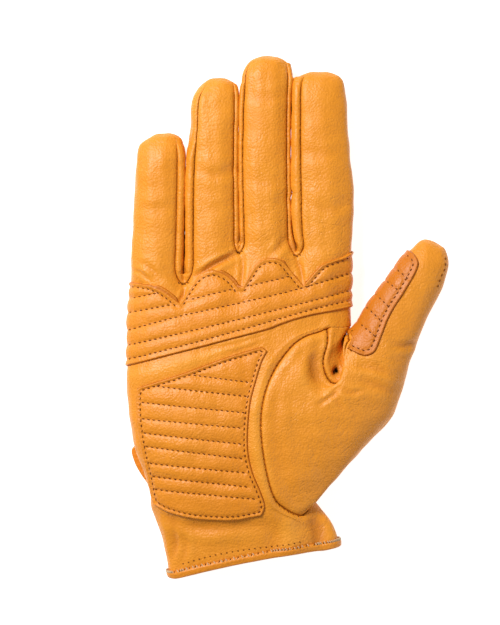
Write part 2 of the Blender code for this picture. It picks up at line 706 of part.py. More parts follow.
def steep(corners):
    """Whether a face looks downwards."""
    return normal_of(corners)[2] < -0.05


palm_faces = [f for f in patches["palm_panel"] if not steep(f)]
hand_faces = [f for f in palm_faces if skin[f][:, 1].mean() < plan(0, ROOTS_END)[1]]
thumb_faces = [f for f in patches["thumb_piece"] if not steep(f)]


def palm_band():
    """Band across the palm under the fingers, with a scalloped upper edge."""
    outline = [plan(*knot) for knot in BAND_TOP + BAND_BOTTOM]
    patch_piece("palm_band", hand_faces, outline, BAND_FLOOR * PALM_HEIGHT, PATCH_LOOK)


def heel_pad():
    """Pad on the heel of the hand, with a rounded outline."""
    outline = smooth_loop([plan(*knot) for knot in HEEL_OUTLINE], OUTLINE_STEPS)
    patch_piece("heel_pad", hand_faces, outline, HEEL_FLOOR * PALM_HEIGHT, PATCH_LOOK)


def thumb_pad():
    """Pad on the inner side of the thumb, from the notch to near the tip."""
    outline = [base + THUMB_LENGTH * (u * thumb_up + s * thumb_side) for u, s in THUMB_OUTLINE]
    patch_piece("thumb_pad", thumb_faces, outline, THUMB_FLOOR * THUMB_HEIGHT, PATCH_LOOK)


def cuff_binding():
    """Binding folded over the hem: the same profile at each point of the first ring, joined all round."""
    hem = sum(rings[0], [])
    above = sum(rings[1], [])
    cover = SEAM_GAP + BINDING_LEATHER
    profile = (
        # outwards from the leather's outer face, past the hem
        (cover, -BINDING_DEPTH),
        (cover, -0.2 * cover),
        (0.45 * cover, cover),
        (-LEATHER - 0.45 * cover, cover),
        (-LEATHER - cover, -0.2 * cover),
        (-LEATHER - cover, -BINDING_DEPTH),
        (-LEATHER - SEAM_GAP, -BINDING_DEPTH),
        (-LEATHER - SEAM_GAP, SEAM_GAP),
        (SEAM_GAP, SEAM_GAP),
        (SEAM_GAP, -BINDING_DEPTH),
    )
    verts = []
    for point, up in zip(hem, above):
        out = outward[point]
        past = skin[point] - skin[up]
        past = unit(past - (past @ out) * out)
        verts += [skin[point] + o * out + h * past for o, h in profile]
    n, m = len(hem), len(profile)
    around = [[i * m + j, i * m + (j + 1) % m, ((i + 1) % n) * m + (j + 1) % m, ((i + 1) % n) * m + j]
              for i in range(n) for j in range(m)]
    make("cuff_binding", verts, around, TRIM_LOOK)


def wrist_strap():
    """Strap flat under the raised rows of the back, with its free end past the little-finger edge."""
    low_row, high_row = HAND_ROWS[STRAP_ROWS[0]], HAND_ROWS[STRAP_ROWS[1]]
    inset = STRAP_INSET * (high_row[2] - low_row[2])
    low_y, high_y = low_row[2] + inset, high_row[2] - inset
    ends = [plan(across, low_y + share * (high_y - low_y)) for share, across in STRAP_END]
    far = ends[0][0] + STRAP_LENGTH
    outline = ends + [(far, ends[-1][1]), (far, ends[0][1])]
    make("wrist_strap", *prism(outline, 0.0, STRAP_LEATHER), TRIM_LOOK)


palm_band()
heel_pad()
thumb_pad()
cuff_binding()
wrist_strap()
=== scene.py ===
"""Leather riding glove for the right hand, lying on its back with the palm up, seen from straight above.

Metres, +X to the thumb side, +Y to the fingertips, +Z out of the palm.
"""

import bmesh
import bpy
import numpy as np
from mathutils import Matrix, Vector


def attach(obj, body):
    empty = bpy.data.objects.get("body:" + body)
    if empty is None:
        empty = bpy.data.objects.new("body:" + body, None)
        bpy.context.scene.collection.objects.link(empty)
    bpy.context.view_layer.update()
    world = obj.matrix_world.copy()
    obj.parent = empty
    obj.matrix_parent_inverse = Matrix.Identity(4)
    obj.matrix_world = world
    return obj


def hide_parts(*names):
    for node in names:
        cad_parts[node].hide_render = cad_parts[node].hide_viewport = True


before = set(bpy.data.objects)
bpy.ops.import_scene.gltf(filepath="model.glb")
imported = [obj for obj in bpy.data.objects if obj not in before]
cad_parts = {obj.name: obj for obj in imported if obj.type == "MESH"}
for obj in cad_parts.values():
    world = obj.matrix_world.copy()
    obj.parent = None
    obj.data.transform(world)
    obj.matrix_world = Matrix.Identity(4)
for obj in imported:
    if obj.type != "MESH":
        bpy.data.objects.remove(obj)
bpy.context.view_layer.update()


# Leather panels. Seven pieces of thin full-grain leather make the shell: palm, back, three strips between the
# fingers, a set-in thumb and the small gusset in its notch. They are sewn inside out and turned, so that each
# seam shows as a fine valley between two soft rolls.

HAND_LENGTH = 0.153
PALM_WIDTH = 0.107
PALM_HEIGHT = 0.027
FINGER_HEIGHT = 0.0195
MIDDLE_LENGTH = 0.0935
LEATHER = 0.0013
MIDDLE_ACROSS = 0.709
PLAN_START = -(HAND_LENGTH + MIDDLE_LENGTH) / 2.0
FINGER_COLUMNS = 4
SIDE_COLUMNS = 4
HALF = SIDE_COLUMNS // 2
HAND_POWER = 2.6
FINGER_POWER = 2.3
THUMB_POWER = 2.2
CORNER_SHARE = 0.84
LEFT_CORNER = 0.042
HEM_BOW = 0.0016
STRAP_LEATHER = 0.0016
SMOOTHNESS = 3

# Rows round the hand, hem first: shares of PALM_WIDTH across, HAND_LENGTH along and PALM_HEIGHT high and low
HAND_ROWS = (
    # left across, along, edge across, along, corner across, along, high, low, fingers
    (0.194, 0.011, 0.942, 0.108, 0.885, 0.100, 0.78, 0.08, 0.0),
    (0.180, 0.080, 0.925, 0.150, 0.860, 0.135, 0.80, 0.02, 0.0),
    (0.148, 0.160, 0.882, 0.200, 0.820, 0.172, 0.84, -0.05, 0.0),
    (0.115, 0.218, 0.837, 0.240, 0.769, 0.196, 0.90, -0.07, 0.0),
    (0.112, 0.262, 0.855, 0.298, 0.672, 0.236, 0.94, -0.07, 0.0),
    (0.084, 0.326, 0.881, 0.375, 0.625, 0.330, 0.98, -0.07, 0.0),
    (0.042, 0.412, 0.905, 0.455, 0.603, 0.425, 1.00, -0.07, 0.0),
    (0.022, 0.498, 0.930, 0.545, 0.601, 0.522, 1.00, -0.08, 0.0),
    (0.009, 0.597, 0.956, 0.635, 0.636, 0.617, 0.96, -0.08, 0.0),
    (0.012, 0.683, 0.978, 0.703, 0.700, 0.693, 0.93, -0.08, 0.0),
    (0.014, 0.737, 0.991, 0.745, 0.785, 0.748, 0.90, -0.08, 0.0),
    (0.015, 0.778, 1.000, 0.775, 0.888, 0.773, 0.87, -0.07, 0.0),
    (0.017, 0.818, 0.992, 0.825, 0.940, 0.820, 0.84, -0.06, 0.10),
    (0.024, 0.865, 0.992, 0.888, 0.950, 0.874, 0.79, -0.03, 0.45),
    (0.028, 0.908, 0.995, 0.978, 0.955, 0.966, 0.72, 0.0, 1.0),
)
WAIST = 3
THUMB_CROTCH = 11
STRAP_ROWS = (4, 6)

# Crotches between two fingers: across, along, share of the palm's columns, and how far up the web rises
# behind
CROTCHES = (
    (0.260, 0.908, 0.221, 0.046),
    (0.504, 1.003, 0.490, 0.034),
    (0.756, 0.994, 0.769, 0.030),
)

# Each finger's edges: share of the way up from root to tip, left and right as shares of PALM_WIDTH
LITTLE = (
    (0.08, 0.026, 0.261), (0.22, 0.026, 0.262), (0.45, 0.036, 0.264), (0.65, 0.043, 0.2655),
    (0.80, 0.050, 0.265), (0.89, 0.058, 0.261), (0.93, 0.072, 0.256), (0.968, 0.105, 0.246),
)
RING = (
    (0.06, 0.261, 0.503), (0.17, 0.264, 0.502), (0.35, 0.2655, 0.4995), (0.50, 0.268, 0.4985),
    (0.64, 0.2755, 0.499),
    (0.77, 0.285, 0.500), (0.88, 0.291, 0.501), (0.935, 0.315, 0.497), (0.968, 0.336, 0.489),
)
MIDDLE = (
    (0.05, 0.506, 0.743), (0.12, 0.505, 0.735), (0.25, 0.5035, 0.731), (0.42, 0.5005, 0.730),
    (0.60, 0.5015, 0.730),
    (0.76, 0.505, 0.732), (0.88, 0.511, 0.735), (0.935, 0.522, 0.734), (0.972, 0.543, 0.722),
)
INDEX = (
    (0.05, 0.745, 0.999), (0.12, 0.738, 1.003), (0.25, 0.7335, 1.007), (0.40, 0.7315, 1.007),
    (0.55, 0.7315, 0.994),
    (0.70, 0.7325, 0.985), (0.83, 0.735, 0.978), (0.92, 0.741, 0.967), (0.968, 0.763, 0.947),
)
FINGERS = (
    # length, edges, where the front ends at the left and right as shares of the half width
    (0.0575, LITTLE, 0.84, 0.72),
    (0.0835, RING, 0.70, 0.85),
    (0.0935, MIDDLE, 0.86, 0.88),
    (0.0865, INDEX, 0.70, 0.84),
)
FINGER_SECTIONS = np.array((
    # up, half height and middle height as shares of FINGER_HEIGHT
    (0.00, 0.500, 0.500), (0.50, 0.470, 0.470), (0.80, 0.435, 0.440), (0.90, 0.385, 0.430),
    (0.96, 0.290, 0.420),
    (1.00, 0.190, 0.410),
))

# The gusset's front corner round the notch: across, along, height as a share of PALM_HEIGHT
NOTCH = (
    (0.891, 0.722, 0.86), (0.869, 0.666, 0.86), (0.905, 0.606, 0.87), (0.949, 0.620, 0.87),
    (0.965, 0.675, 0.86),
)
THUMB_LENGTH = 0.0735
THUMB_WIDTH = 0.0385
THUMB_HEIGHT = 0.025
THUMB_MIDDLE = 0.53
THUMB_TURN = np.radians(23.4)
THUMB_BASE = (1.075, 0.603)
THUMB_TIP_LEAN = 0.01
THUMB_ROWS = (
    # along, sideways as shares of THUMB_LENGTH, width of THUMB_WIDTH, turn in degrees, height of THUMB_HEIGHT
    (0.050, -0.004, 1.120, -40.0, 1.00),
    (0.188, -0.009, 0.940, -30.0, 0.96),
    (0.328, -0.014, 0.835, -24.4, 0.91),
    (0.497, -0.003, 0.740, -23.0, 0.86),
    (0.655, 0.016, 0.655, -20.0, 0.80),
    (0.802, 0.032, 0.590, -11.0, 0.72),
    (0.905, 0.036, 0.485, -2.0, 0.56),
    (0.965, 0.022, 0.350, 5.0, 0.38),
)


def plan(across, along):
    """Place in the plan: shares of the palm's width and the hand's length from the hem's left end, in
    metres."""
    return np.array([PALM_WIDTH * (across - MIDDLE_ACROSS), HAND_LENGTH * along + PLAN_START])


def unit(v):
    """Each vector divided by its own length."""
    return v / np.maximum(np.linalg.norm(v, axis=-1, keepdims=True), 1e-12)


def arch(share, power):
    """Height of a rounded section at a share of its half width: the power-th root of one minus the share's
    power."""
    return (1.0 - np.minimum(np.abs(share), 1.0) ** power) ** (1.0 / power)


def ramp(value, start, width):
    """Share from nought to one that rises from the start over the width."""
    return np.clip((value - start) / width, 0.0, 1.0)


def fade(value, width):
    """Share that falls from one at nought to nought at the width, and stays one below nought."""
    return np.clip(1.0 - value / width, 0.0, 1.0)


def bell(value, width):
    """Bell curve with its top of one at nought: e to the minus square of the value over the width."""
    return np.exp(-(value / width) ** 2)


def side_shares(top, low, power):
    """Points down a rounded side between an upper and a lower corner, at even steps of the superellipse's
    angle."""
    angle = np.linspace(np.arccos(top ** (power / 2.0)), -np.arccos(low ** (power / 2.0)),
                        SIDE_COLUMNS + 1)[1:-1]
    return np.cos(angle) ** (2.0 / power), np.sign(angle) * np.abs(np.sin(angle)) ** (2.0 / power)


def resting(spots, floor=0.0):
    """The points, with those under what the glove lies on lifted to it."""
    spots[:, 2] = np.maximum(spots[:, 2], floor)
    return spots


net = []
net_faces = []
net_panels = []
PANELS = ("palm_panel", "back_panel", "fourchette_little_ring", "fourchette_ring_middle",
          "fourchette_middle_index", "thumb_piece", "thumb_gusset")
PALM, BACK, THUMB, GUSSET = 0, 1, 5, 6


def add(spots):
    """Adds points to the net and gives their numbers."""
    net.extend(np.asarray(spots, float))
    return list(range(len(net) - len(spots), len(net)))


def strip(panel, lower, upper):
    """Adds the faces between two rows of point numbers to a panel, without a corner that both rows share."""
    for k in range(len(lower) - 1):
        corners = [lower[k], lower[k + 1], upper[k + 1], upper[k]]
        net_faces.append([c for i, c in enumerate(corners) if c != corners[i - 1]])
        net_panels.append(panel)


splits = np.array([0.0] + [c[2] for c in CROTCHES] + [1.0])
column_share = np.concatenate([np.linspace(splits[i], splits[i + 1], FINGER_COLUMNS + 1)[(i > 0):]
                               for i in range(4)])


def finger_arch(share):
    """Height of four arches side by side, one for each finger, at shares of the way from left to right
    corner."""
    finger = np.clip(np.searchsorted(splits, share, side="right") - 1, 0, 3)
    middle, half = (splits[finger] + splits[finger + 1]) / 2.0, (splits[finger + 1] - splits[finger]) / 2.0
    return arch(CORNER_SHARE * (share - middle) / half, FINGER_POWER)


def hand_ring(row, back):
    """One ring round the hand in four runs, palm side, thumb side, back and little-finger side: a
    superellipse from edge to edge that turns into four arches side by side near the fingers."""
    lx, ly, ex, ey, cx, cy, high, low, fingers = HAND_ROWS[row]
    left, edge, corner = plan(lx, ly), plan(ex, ey), plan(cx, cy)
    first = plan(lx + LEFT_CORNER * (ex - lx), ly)
    top_z, low_z = high * PALM_HEIGHT, low * PALM_HEIGHT
    top_z += fingers * (FINGER_HEIGHT - top_z)
    middle, half = (top_z + low_z) / 2.0, (top_z - low_z) / 2.0
    centre, width = (left[0] + edge[0]) / 2.0, (edge[0] - left[0]) / 2.0
    runs = []
    for end in (corner, back):
        flat = first + column_share[:, None] * (end - first)
        flat[:, 1] += (row == 0) * HEM_BOW * 4.0 * column_share * (1.0 - column_share)
        knots = np.array([first] + [plan(c[0], c[1]) for c in CROTCHES] + [end])
        bent = np.stack([np.interp(column_share, splits, knots[:, k]) for k in (0, 1)], axis=1)
        flat = flat + fingers * (bent - flat)
        plain = arch((flat[:, 0] - centre) / width, HAND_POWER)
        runs.append((flat, plain + fingers * (finger_arch(column_share) - plain)))
    (top, top_h), (bottom, bottom_h) = runs
    sides = []
    for flat, height, end in ((corner, top_h[-1], edge), (first, top_h[0], left)):
        reach = min(abs(flat[0] - centre) / width, 0.97)
        out, up = side_shares(reach, reach, HAND_POWER)
        up = up * (height / arch(reach, HAND_POWER) if fingers else 1.0)
        spot = flat + ((out - reach) / (1.0 - reach))[:, None] * (end - flat)
        sides.append(np.column_stack([spot, middle + half * up]))
    if WAIST < row < THUMB_CROTCH:
        sides[0] = np.zeros((0, 3))
    floor = STRAP_LEATHER + 0.0003 if STRAP_ROWS[0] <= row <= STRAP_ROWS[1] else 0.0
    ring = (np.column_stack([top, middle + half * top_h]), sides[0],
            np.column_stack([bottom, middle - half * bottom_h])[::-1], sides[1][::-1])
    return [resting(part, floor) for part in ring]


def back_corner(row):
    """Where the back's edge lies: at the seam, and straight from the waist to the thumb's crotch between
    them."""
    low, high, entry = HAND_ROWS[WAIST], HAND_ROWS[THUMB_CROTCH], HAND_ROWS[row]
    share = np.clip((entry[5] - low[5]) / (high[5] - low[5]), 0.0, 1.0)
    straight = low[4] + share * (high[4] - low[4])
    return plan(straight if WAIST < row < THUMB_CROTCH else entry[4], entry[5])


rings = [[add(part) for part in hand_ring(row, back_corner(row))] for row in range(len(HAND_ROWS))]
for (top, right, bottom, left), (top2, right2, bottom2, left2) in zip(rings[:-1], rings[1:]):
    strip(PALM, top, top2)
    strip(BACK, bottom, bottom2)
    below, above = [bottom[-1]] + left + [top[0]], [bottom2[-1]] + left2 + [top2[0]]
    strip(BACK, below[:HALF + 1], above[:HALF + 1])
    strip(PALM, below[HALF:], above[HALF:])
    if right and right2:
        below, above = [top[-1]] + right + [bottom[0]], [top2[-1]] + right2 + [bottom2[0]]
        strip(PALM, below[:HALF + 1], above[:HALF + 1])
        strip(BACK, below[HALF:], above[HALF:])


def rounded_end(ring, reach, panels):
    """Closes a tube with a dome: rows across the last ring, pushed out by the product of two half circles."""
    top, right, bottom, left = ring
    rows = [top]
    for r in range(1, SIDE_COLUMNS):
        a, b = net[left[SIDE_COLUMNS - 1 - r]], net[right[r - 1]]
        share = np.linspace(0.0, 1.0, len(top))[1:-1, None]
        row = a + share * (b - a)
        dome = arch(2.0 * r / SIDE_COLUMNS - 1.0, 2.0) * arch(2.0 * share[:, 0] - 1.0, 2.0)
        rows.append([left[SIDE_COLUMNS - 1 - r]] + add(row + dome[:, None] * reach(row)) + [right[r - 1]])
    rows.append(bottom[::-1])
    for r in range(SIDE_COLUMNS):
        strip(panels[r >= HALF], rows[r], rows[r + 1])


root_top, root_right, root_bottom, root_left = rings[-1]
WEB_SHAPE = np.array([0.6, 1.0, 0.8])
webs = []
for k, (*_, web) in enumerate(CROTCHES):
    upper = root_top[FINGER_COLUMNS * (k + 1)]
    lower = root_bottom[4 * FINGER_COLUMNS - FINGER_COLUMNS * (k + 1)]
    share = np.linspace(0.0, 1.0, SIDE_COLUMNS + 1)[1:-1, None]
    spots = net[upper] + share * (net[lower] - net[upper])
    spots[:, 1] += web * HAND_LENGTH * WEB_SHAPE
    webs.append(add(spots))

for k, (length, table, left_seam, right_seam) in enumerate(FINGERS):
    first = FINGER_COLUMNS * k
    ring = [root_top[first:first + FINGER_COLUMNS + 1], webs[k] if k < 3 else root_right,
            root_bottom[4 * FINGER_COLUMNS - first - FINGER_COLUMNS:4 * FINGER_COLUMNS - first + 1],
            webs[k - 1][::-1] if k > 0 else root_left]
    root = np.array([net[i] for i in ring[0]])
    tip = plan(0.0, 1.0)[1] + length
    for up, left_edge, right_edge in table:
        half_h, mid_h = (np.interp(up, FINGER_SECTIONS[:, 0], FINGER_SECTIONS[:, i]) * FINGER_HEIGHT
                         for i in (1, 2))
        x0, x1 = plan(left_edge, 0.0)[0] + 0.0002 * (k > 0), plan(right_edge, 0.0)[0] - 0.0002 * (k < 3)
        centre, half_w = (x0 + x1) / 2.0, (x1 - x0) / 2.0
        across = np.linspace(-left_seam, right_seam, FINGER_COLUMNS + 1)
        under = np.linspace(-CORNER_SHARE, CORNER_SHARE, FINGER_COLUMNS + 1)
        y = root[:, 1] + up * (tip - root[:, 1])
        lift = max(0.0, 1.0 - up / 0.3) * HAND_LENGTH
        rise = [CROTCHES[i][3] * lift * WEB_SHAPE if 0 <= i < 3 else 0.0 for i in (k - 1, k)]
        out, side = side_shares(right_seam, CORNER_SHARE, FINGER_POWER)
        new_right = np.column_stack([centre + half_w * out, y[-1] + rise[1] + 0.0 * out,
                                     mid_h + half_h * side])
        out, side = side_shares(left_seam, CORNER_SHARE, FINGER_POWER)
        new_left = np.column_stack([centre - half_w * out, y[0] + rise[0] + 0.0 * out, mid_h + half_h * side])
        parts = (np.column_stack([centre + half_w * across, y, mid_h + half_h * arch(across, FINGER_POWER)]),
                 new_right,
                 np.column_stack([centre + half_w * under, y,
                                  mid_h - half_h * arch(under, FINGER_POWER)])[::-1],
                 new_left[::-1])
        new = [add(resting(part)) for part in parts]
        strip(PALM, ring[0], new[0])
        strip(BACK, ring[2], new[2])
        for outer, strips, a, b in ((k == 3, k + 2, 0, 2), (k == 0, k + 1, 2, 0)):
            side1 = [ring[a][-1]] + ring[a + 1] + [ring[b][0]]
            side2 = [new[a][-1]] + new[a + 1] + [new[b][0]]
            strip((BACK if a else PALM) if outer else strips, side1[:HALF + 1], side2[:HALF + 1])
            strip((PALM if a else BACK) if outer else strips, side1[HALF:], side2[HALF:])
        ring = new
    rounded_end(ring, lambda row: (tip - row[:, 1])[:, None] * np.array([0.0, 1.0, 0.0]), (PALM, BACK))

front = [rings[row][0][-1] for row in range(THUMB_CROTCH, WAIST - 1, -1)]
back = [rings[row][2][0] for row in range(WAIST, THUMB_CROTCH + 1)]
ring = [front, rings[WAIST][1], back, rings[THUMB_CROTCH][1][::-1]]
thumb_columns = THUMB_CROTCH - WAIST
base = plan(*THUMB_BASE)
thumb_up = np.array([np.sin(THUMB_TURN), np.cos(THUMB_TURN)])
thumb_side = np.array([np.cos(THUMB_TURN), -np.sin(THUMB_TURN)])


def thumb_ring(along, sideways, width, degrees, height):
    """One superelliptic section of the thumb, turned in the plan: front, outer side, back and inner side."""
    centre = base + THUMB_LENGTH * (along * thumb_up + sideways * thumb_side)
    a = np.radians(degrees) - THUMB_TURN
    half_w, half_h = width * THUMB_WIDTH / 2.0, height * THUMB_HEIGHT / 2.0
    across = np.linspace(-CORNER_SHARE, CORNER_SHARE, thumb_columns + 1)
    out, rise = side_shares(CORNER_SHARE, CORNER_SHARE, THUMB_POWER)
    z = THUMB_MIDDLE * THUMB_HEIGHT

    def lay(share, up):
        """Points at shares of the half width and half height."""
        return np.column_stack([centre + half_w * share[:, None] * (np.cos(a), np.sin(a)), z + half_h * up])

    return [lay(across, arch(across, THUMB_POWER)), lay(out, rise),
            lay(across[::-1], -arch(across, THUMB_POWER)[::-1]), lay(-out, -rise)]


def thumb_strips(ring, new, inner):
    """Adds the faces between two thumb rings, whose inner side belongs to the panel named."""
    strip(THUMB, ring[0], new[0])
    strip(THUMB, [ring[0][-1]] + ring[1] + [ring[2][0]], [new[0][-1]] + new[1] + [new[2][0]])
    strip(THUMB, ring[2], new[2])
    strip(inner, [ring[2][-1]] + ring[3] + [ring[0][0]], [new[2][-1]] + new[3] + [new[0][0]])


hole = [np.array([net[i] for i in part]) for part in ring]
base_ring = thumb_ring(*THUMB_ROWS[0])
for step, (across, along, high) in enumerate(NOTCH, 1):
    share = step / (len(NOTCH) + 1)
    mixed = [a + share * (b - a) for a, b in zip(hole, base_ring)]
    shift = np.array([*plan(across, along), high * PALM_HEIGHT]) - mixed[0][0]
    mixed[0] = mixed[0] + np.linspace(1.0, 0.0, thumb_columns + 1)[:, None] * shift
    mixed[3] = mixed[3] + (np.arange(1, SIDE_COLUMNS)[:, None] / SIDE_COLUMNS) ** 2 * shift
    new = [add(resting(part)) for part in mixed]
    thumb_strips(ring, new, GUSSET)
    ring = new
for entry in THUMB_ROWS:
    new = [add(resting(part)) for part in thumb_ring(*entry)]
    thumb_strips(ring, new, GUSSET if entry is THUMB_ROWS[0] else THUMB)
    ring = new
thumb_tip = base + THUMB_LENGTH * (thumb_up + THUMB_TIP_LEAN * thumb_side)
rounded_end(ring, lambda row: ((thumb_tip - row[:, :2]) @ thumb_up)[:, None] * np.array([*thumb_up, 0.0]),
            (THUMB, THUMB))


def new_object(name, points, faces):
    """A mesh object from rows of points and of corner numbers, shaded smooth."""
    mesh = bpy.data.meshes.new(name)
    corners = faces.tolist() if isinstance(faces, np.ndarray) else faces
    mesh.from_pydata(np.asarray(points).tolist(), [], corners)
    mesh.shade_smooth()
    piece = bpy.data.objects.new(name, mesh)
    bpy.context.scene.collection.objects.link(piece)
    return piece


def evaluated(piece):
    """Points, four-cornered faces and panel numbers of an object with its modifiers applied."""
    mesh = piece.evaluated_get(bpy.context.evaluated_depsgraph_get()).to_mesh()
    spots = np.empty(len(mesh.vertices) * 3, np.float32)
    mesh.vertices.foreach_get("co", spots)
    corners = np.empty(len(mesh.loops), np.int32)
    mesh.loops.foreach_get("vertex_index", corners)
    numbers = np.empty(len(mesh.polygons), np.int32)
    mesh.polygons.foreach_get("material_index", numbers)
    piece.evaluated_get(bpy.context.evaluated_depsgraph_get()).to_mesh_clear()
    return spots.reshape(-1, 3).astype(float), corners, numbers


def smooth_skin():
    """The smooth surface that passes through the net's points: the subdivided net's limit, with the net moved
    three times by what its own points still miss."""
    target = np.array(net)
    cage = new_object("shell_form", target, net_faces)
    work = bmesh.new()
    work.from_mesh(cage.data)
    bmesh.ops.recalc_face_normals(work, faces=work.faces)
    work.to_mesh(cage.data)
    work.free()
    cage.data.polygons.foreach_set("material_index", np.array(net_panels, np.int32))
    finer = cage.modifiers.new("rounding", "SUBSURF")
    finer.levels = finer.render_levels = 1
    control = target.copy()
    for _ in range(3):
        cage.data.vertices.foreach_set("co", control.ravel().astype(np.float32))
        cage.data.update()
        control += 0.8 * (target - evaluated(cage)[0][:len(target)])
    cage.data.vertices.foreach_set("co", control.ravel().astype(np.float32))
    cage.data.update()
    finer.levels = finer.render_levels = SMOOTHNESS
    spots, corners, numbers = evaluated(cage)
    bpy.data.objects.remove(cage)
    return spots, corners.reshape(-1, 4), numbers


skin, skin_faces, skin_panel = smooth_skin()

# Folds and dents of the worn shell on the palm side, each through three places: a groove with soft
# shoulders, or a ridge where the depth is negative. Shares across and along, then half width and depth in
# millimetres
FOLDS = (
    # from across, along, by across, along, to across, along, half width, depth
    (0.498, 1.003, 0.401, 0.969, 0.313, 0.932, 1.3, 1.10),
    (0.026, 0.954, 0.066, 0.945, 0.119, 0.917, 1.0, 0.50),
    (0.035, 0.978, 0.110, 0.960, 0.154, 0.923, 1.5, 0.40),
    (0.515, 0.997, 0.520, 0.954, 0.511, 0.898, 1.0, 0.60),
    (0.264, 0.898, 0.260, 0.877, 0.242, 0.852, 0.9, 0.70),
    (0.758, 0.985, 0.771, 0.954, 0.784, 0.911, 1.0, 0.70),
    (0.709, 1.046, 0.674, 1.015, 0.630, 0.994, 1.6, 0.50),
    (0.833, 0.708, 0.828, 0.658, 0.846, 0.603, 3.0, 1.30),
    (0.784, 0.723, 0.771, 0.683, 0.753, 0.640, 2.5, 0.50),
    (0.930, 0.591, 0.903, 0.566, 0.850, 0.542, 1.0, 0.50),
    (0.938, 0.591, 0.991, 0.578, 1.044, 0.582, 1.0, 0.50),
    (0.921, 0.588, 0.930, 0.554, 0.969, 0.517, 1.2, 0.40),
    (0.991, 0.662, 1.088, 0.652, 1.194, 0.622, 2.0, 0.50),
    (1.000, 0.622, 1.115, 0.597, 1.220, 0.566, 2.2, 0.50),
    (1.291, 0.732, 1.238, 0.720, 1.176, 0.720, 1.5, 0.70),
    (1.335, 0.895, 1.361, 0.886, 1.388, 0.874, 0.8, 0.30),
    (0.718, 0.074, 0.722, 0.138, 0.709, 0.200, 4.0, -0.90),
    (0.841, 0.098, 0.850, 0.148, 0.824, 0.203, 3.5, 1.20),
    (0.132, 0.215, 0.330, 0.166, 0.604, 0.178, 2.5, 0.60),
    (0.207, 0.185, 0.225, 0.123, 0.207, 0.055, 2.2, 0.70),
    (0.260, 0.160, 0.269, 0.098, 0.242, 0.043, 1.6, 0.50),
    (0.035, 0.622, 0.242, 0.658, 0.551, 0.732, 3.0, -0.50),
    (0.330, 0.702, 0.463, 0.720, 0.604, 0.748, 1.0, 0.35),
    (0.383, 0.686, 0.507, 0.708, 0.604, 0.732, 0.9, 0.30),
    (0.630, 0.665, 0.581, 0.462, 0.639, 0.237, 4.0, -0.80),
    (0.313, 1.262, 0.396, 1.243, 0.489, 1.262, 2.2, 0.35),
    (0.322, 1.154, 0.396, 1.138, 0.489, 1.160, 2.0, 0.25),
    (0.524, 1.489, 0.617, 1.477, 0.727, 1.489, 2.5, 0.35),
    (0.524, 1.231, 0.630, 1.212, 0.727, 1.237, 2.5, 0.30),
    (0.789, 1.154, 0.894, 1.135, 0.996, 1.160, 2.5, 0.35),
    (0.771, 1.323, 0.868, 1.305, 0.978, 1.323, 2.5, 0.30),
    (0.048, 1.154, 0.132, 1.138, 0.229, 1.157, 2.2, 0.30),
)
FOLD_SCALE = 0.00140
GRAIN_SWELLS = 14

# Walls of the strips pressed together: each one's lower end as a share along, and the widest opening that closes
PINCHES = ((0.949, 0.0026), (1.042, 0.0026), (1.016, 0.0036))
PINCH_STEP = 0.0012
ROLL_DEPTH = 0.0028
WEB_DIP = 0.0018
CONTACT = 0.00005

# The small hole at each pinch's lower end: length above and below, half width, and the strength of the shade
# painted on its walls
HOLE_LENGTH = 0.0042
HOLE_START = 0.0012
HOLE_HALF = 0.0011
HOLE_SHADE = 3.2

# The hole in the notch and the lower end of the arc seam, across and along
NOTCH_HOLE = (0.925, 0.643)
ARC_END = (0.718, 0.203)
ARC_END_REACH = 0.0040
ARC_END_ROUNDS = 8

# The thumb's inner rim moves towards the fingers: how far, where up and beside the thumb, and over what reach
RIM_SHIFT = 0.0033
RIM_AT = (0.190, -0.205)
RIM_REACH = (0.088, 0.05)

# Seams: reach and depth of the valley, then distance, width and height of the roll beside it
STRIP_SEAM = (0.0013, 0.00055, 0.0022, 0.0013, 0.00018)
ARC_SEAM = (0.0016, 0.0008, 0.0032, 0.0020, 0.00045)
GUSSET_SEAM = (0.0011, 0.0006, 0.0016, 0.0009, 0.0005)
SIDE_SEAM = (0.0014, 0.0003, 0.0, 0.001, 0.0)
SEAM_FAR = 0.015


def way_along(knots, count):
    """Points at even steps along a smooth curve through the knots: each span is a cubic with the neighbours'
    average direction at both ends."""
    knots = np.asarray(knots, float)
    ends = np.concatenate([2.0 * knots[:1] - knots[1:2], knots, 2.0 * knots[-1:] - knots[-2:-1]])
    a, b, c, d = (ends[i:len(ends) - 3 + i, None] for i in range(4))
    t = (np.arange(24) / 24.0)[None, :, None]
    curve = 0.5 * (2 * b + (c - a) * t + (2 * a - 5 * b + 4 * c - d) * t**2 + (3 * b - 3 * c + d - a) * t**3)
    curve = np.concatenate([curve.reshape(-1, knots.shape[1]), knots[-1:]])
    return even_steps(curve, count)


def even_steps(curve, count):
    """The curve's points spaced evenly by length."""
    length = np.concatenate([[0.0], np.cumsum(np.linalg.norm(np.diff(curve, axis=0), axis=1))])
    at = np.linspace(0.0, length[-1], count)
    return np.stack([np.interp(at, length, curve[:, k]) for k in range(curve.shape[1])], axis=1)


def away_from(spots, line):
    """Distance in the plan from each place to a chain of short spans, and how far along the chain it is."""
    a, d = line[:-1], np.diff(line, axis=0)
    share = np.einsum("pk,sk->ps", spots, d) - np.sum(a * d, axis=1)
    share = np.clip(share / np.maximum(np.sum(d * d, axis=1), 1e-12), 0.0, 1.0)
    gap = np.linalg.norm(spots[:, None] - a - share[..., None] * d, axis=2)
    nearest = gap.argmin(axis=1)
    rows = np.arange(len(spots))
    return gap[rows, nearest], (nearest + share[rows, nearest]) / len(d)


def corner_normals(spots, faces):
    """Direction of the surface at each point: the sum of its faces' diagonal cross products, at length
    one."""
    a, b, c, d = (spots[faces[:, i]] for i in range(4))
    across = np.repeat(np.cross(c - a, d - b), 4, axis=0)
    return unit(np.stack([np.bincount(faces.ravel(), across[:, k], len(spots)) for k in range(3)], axis=1))


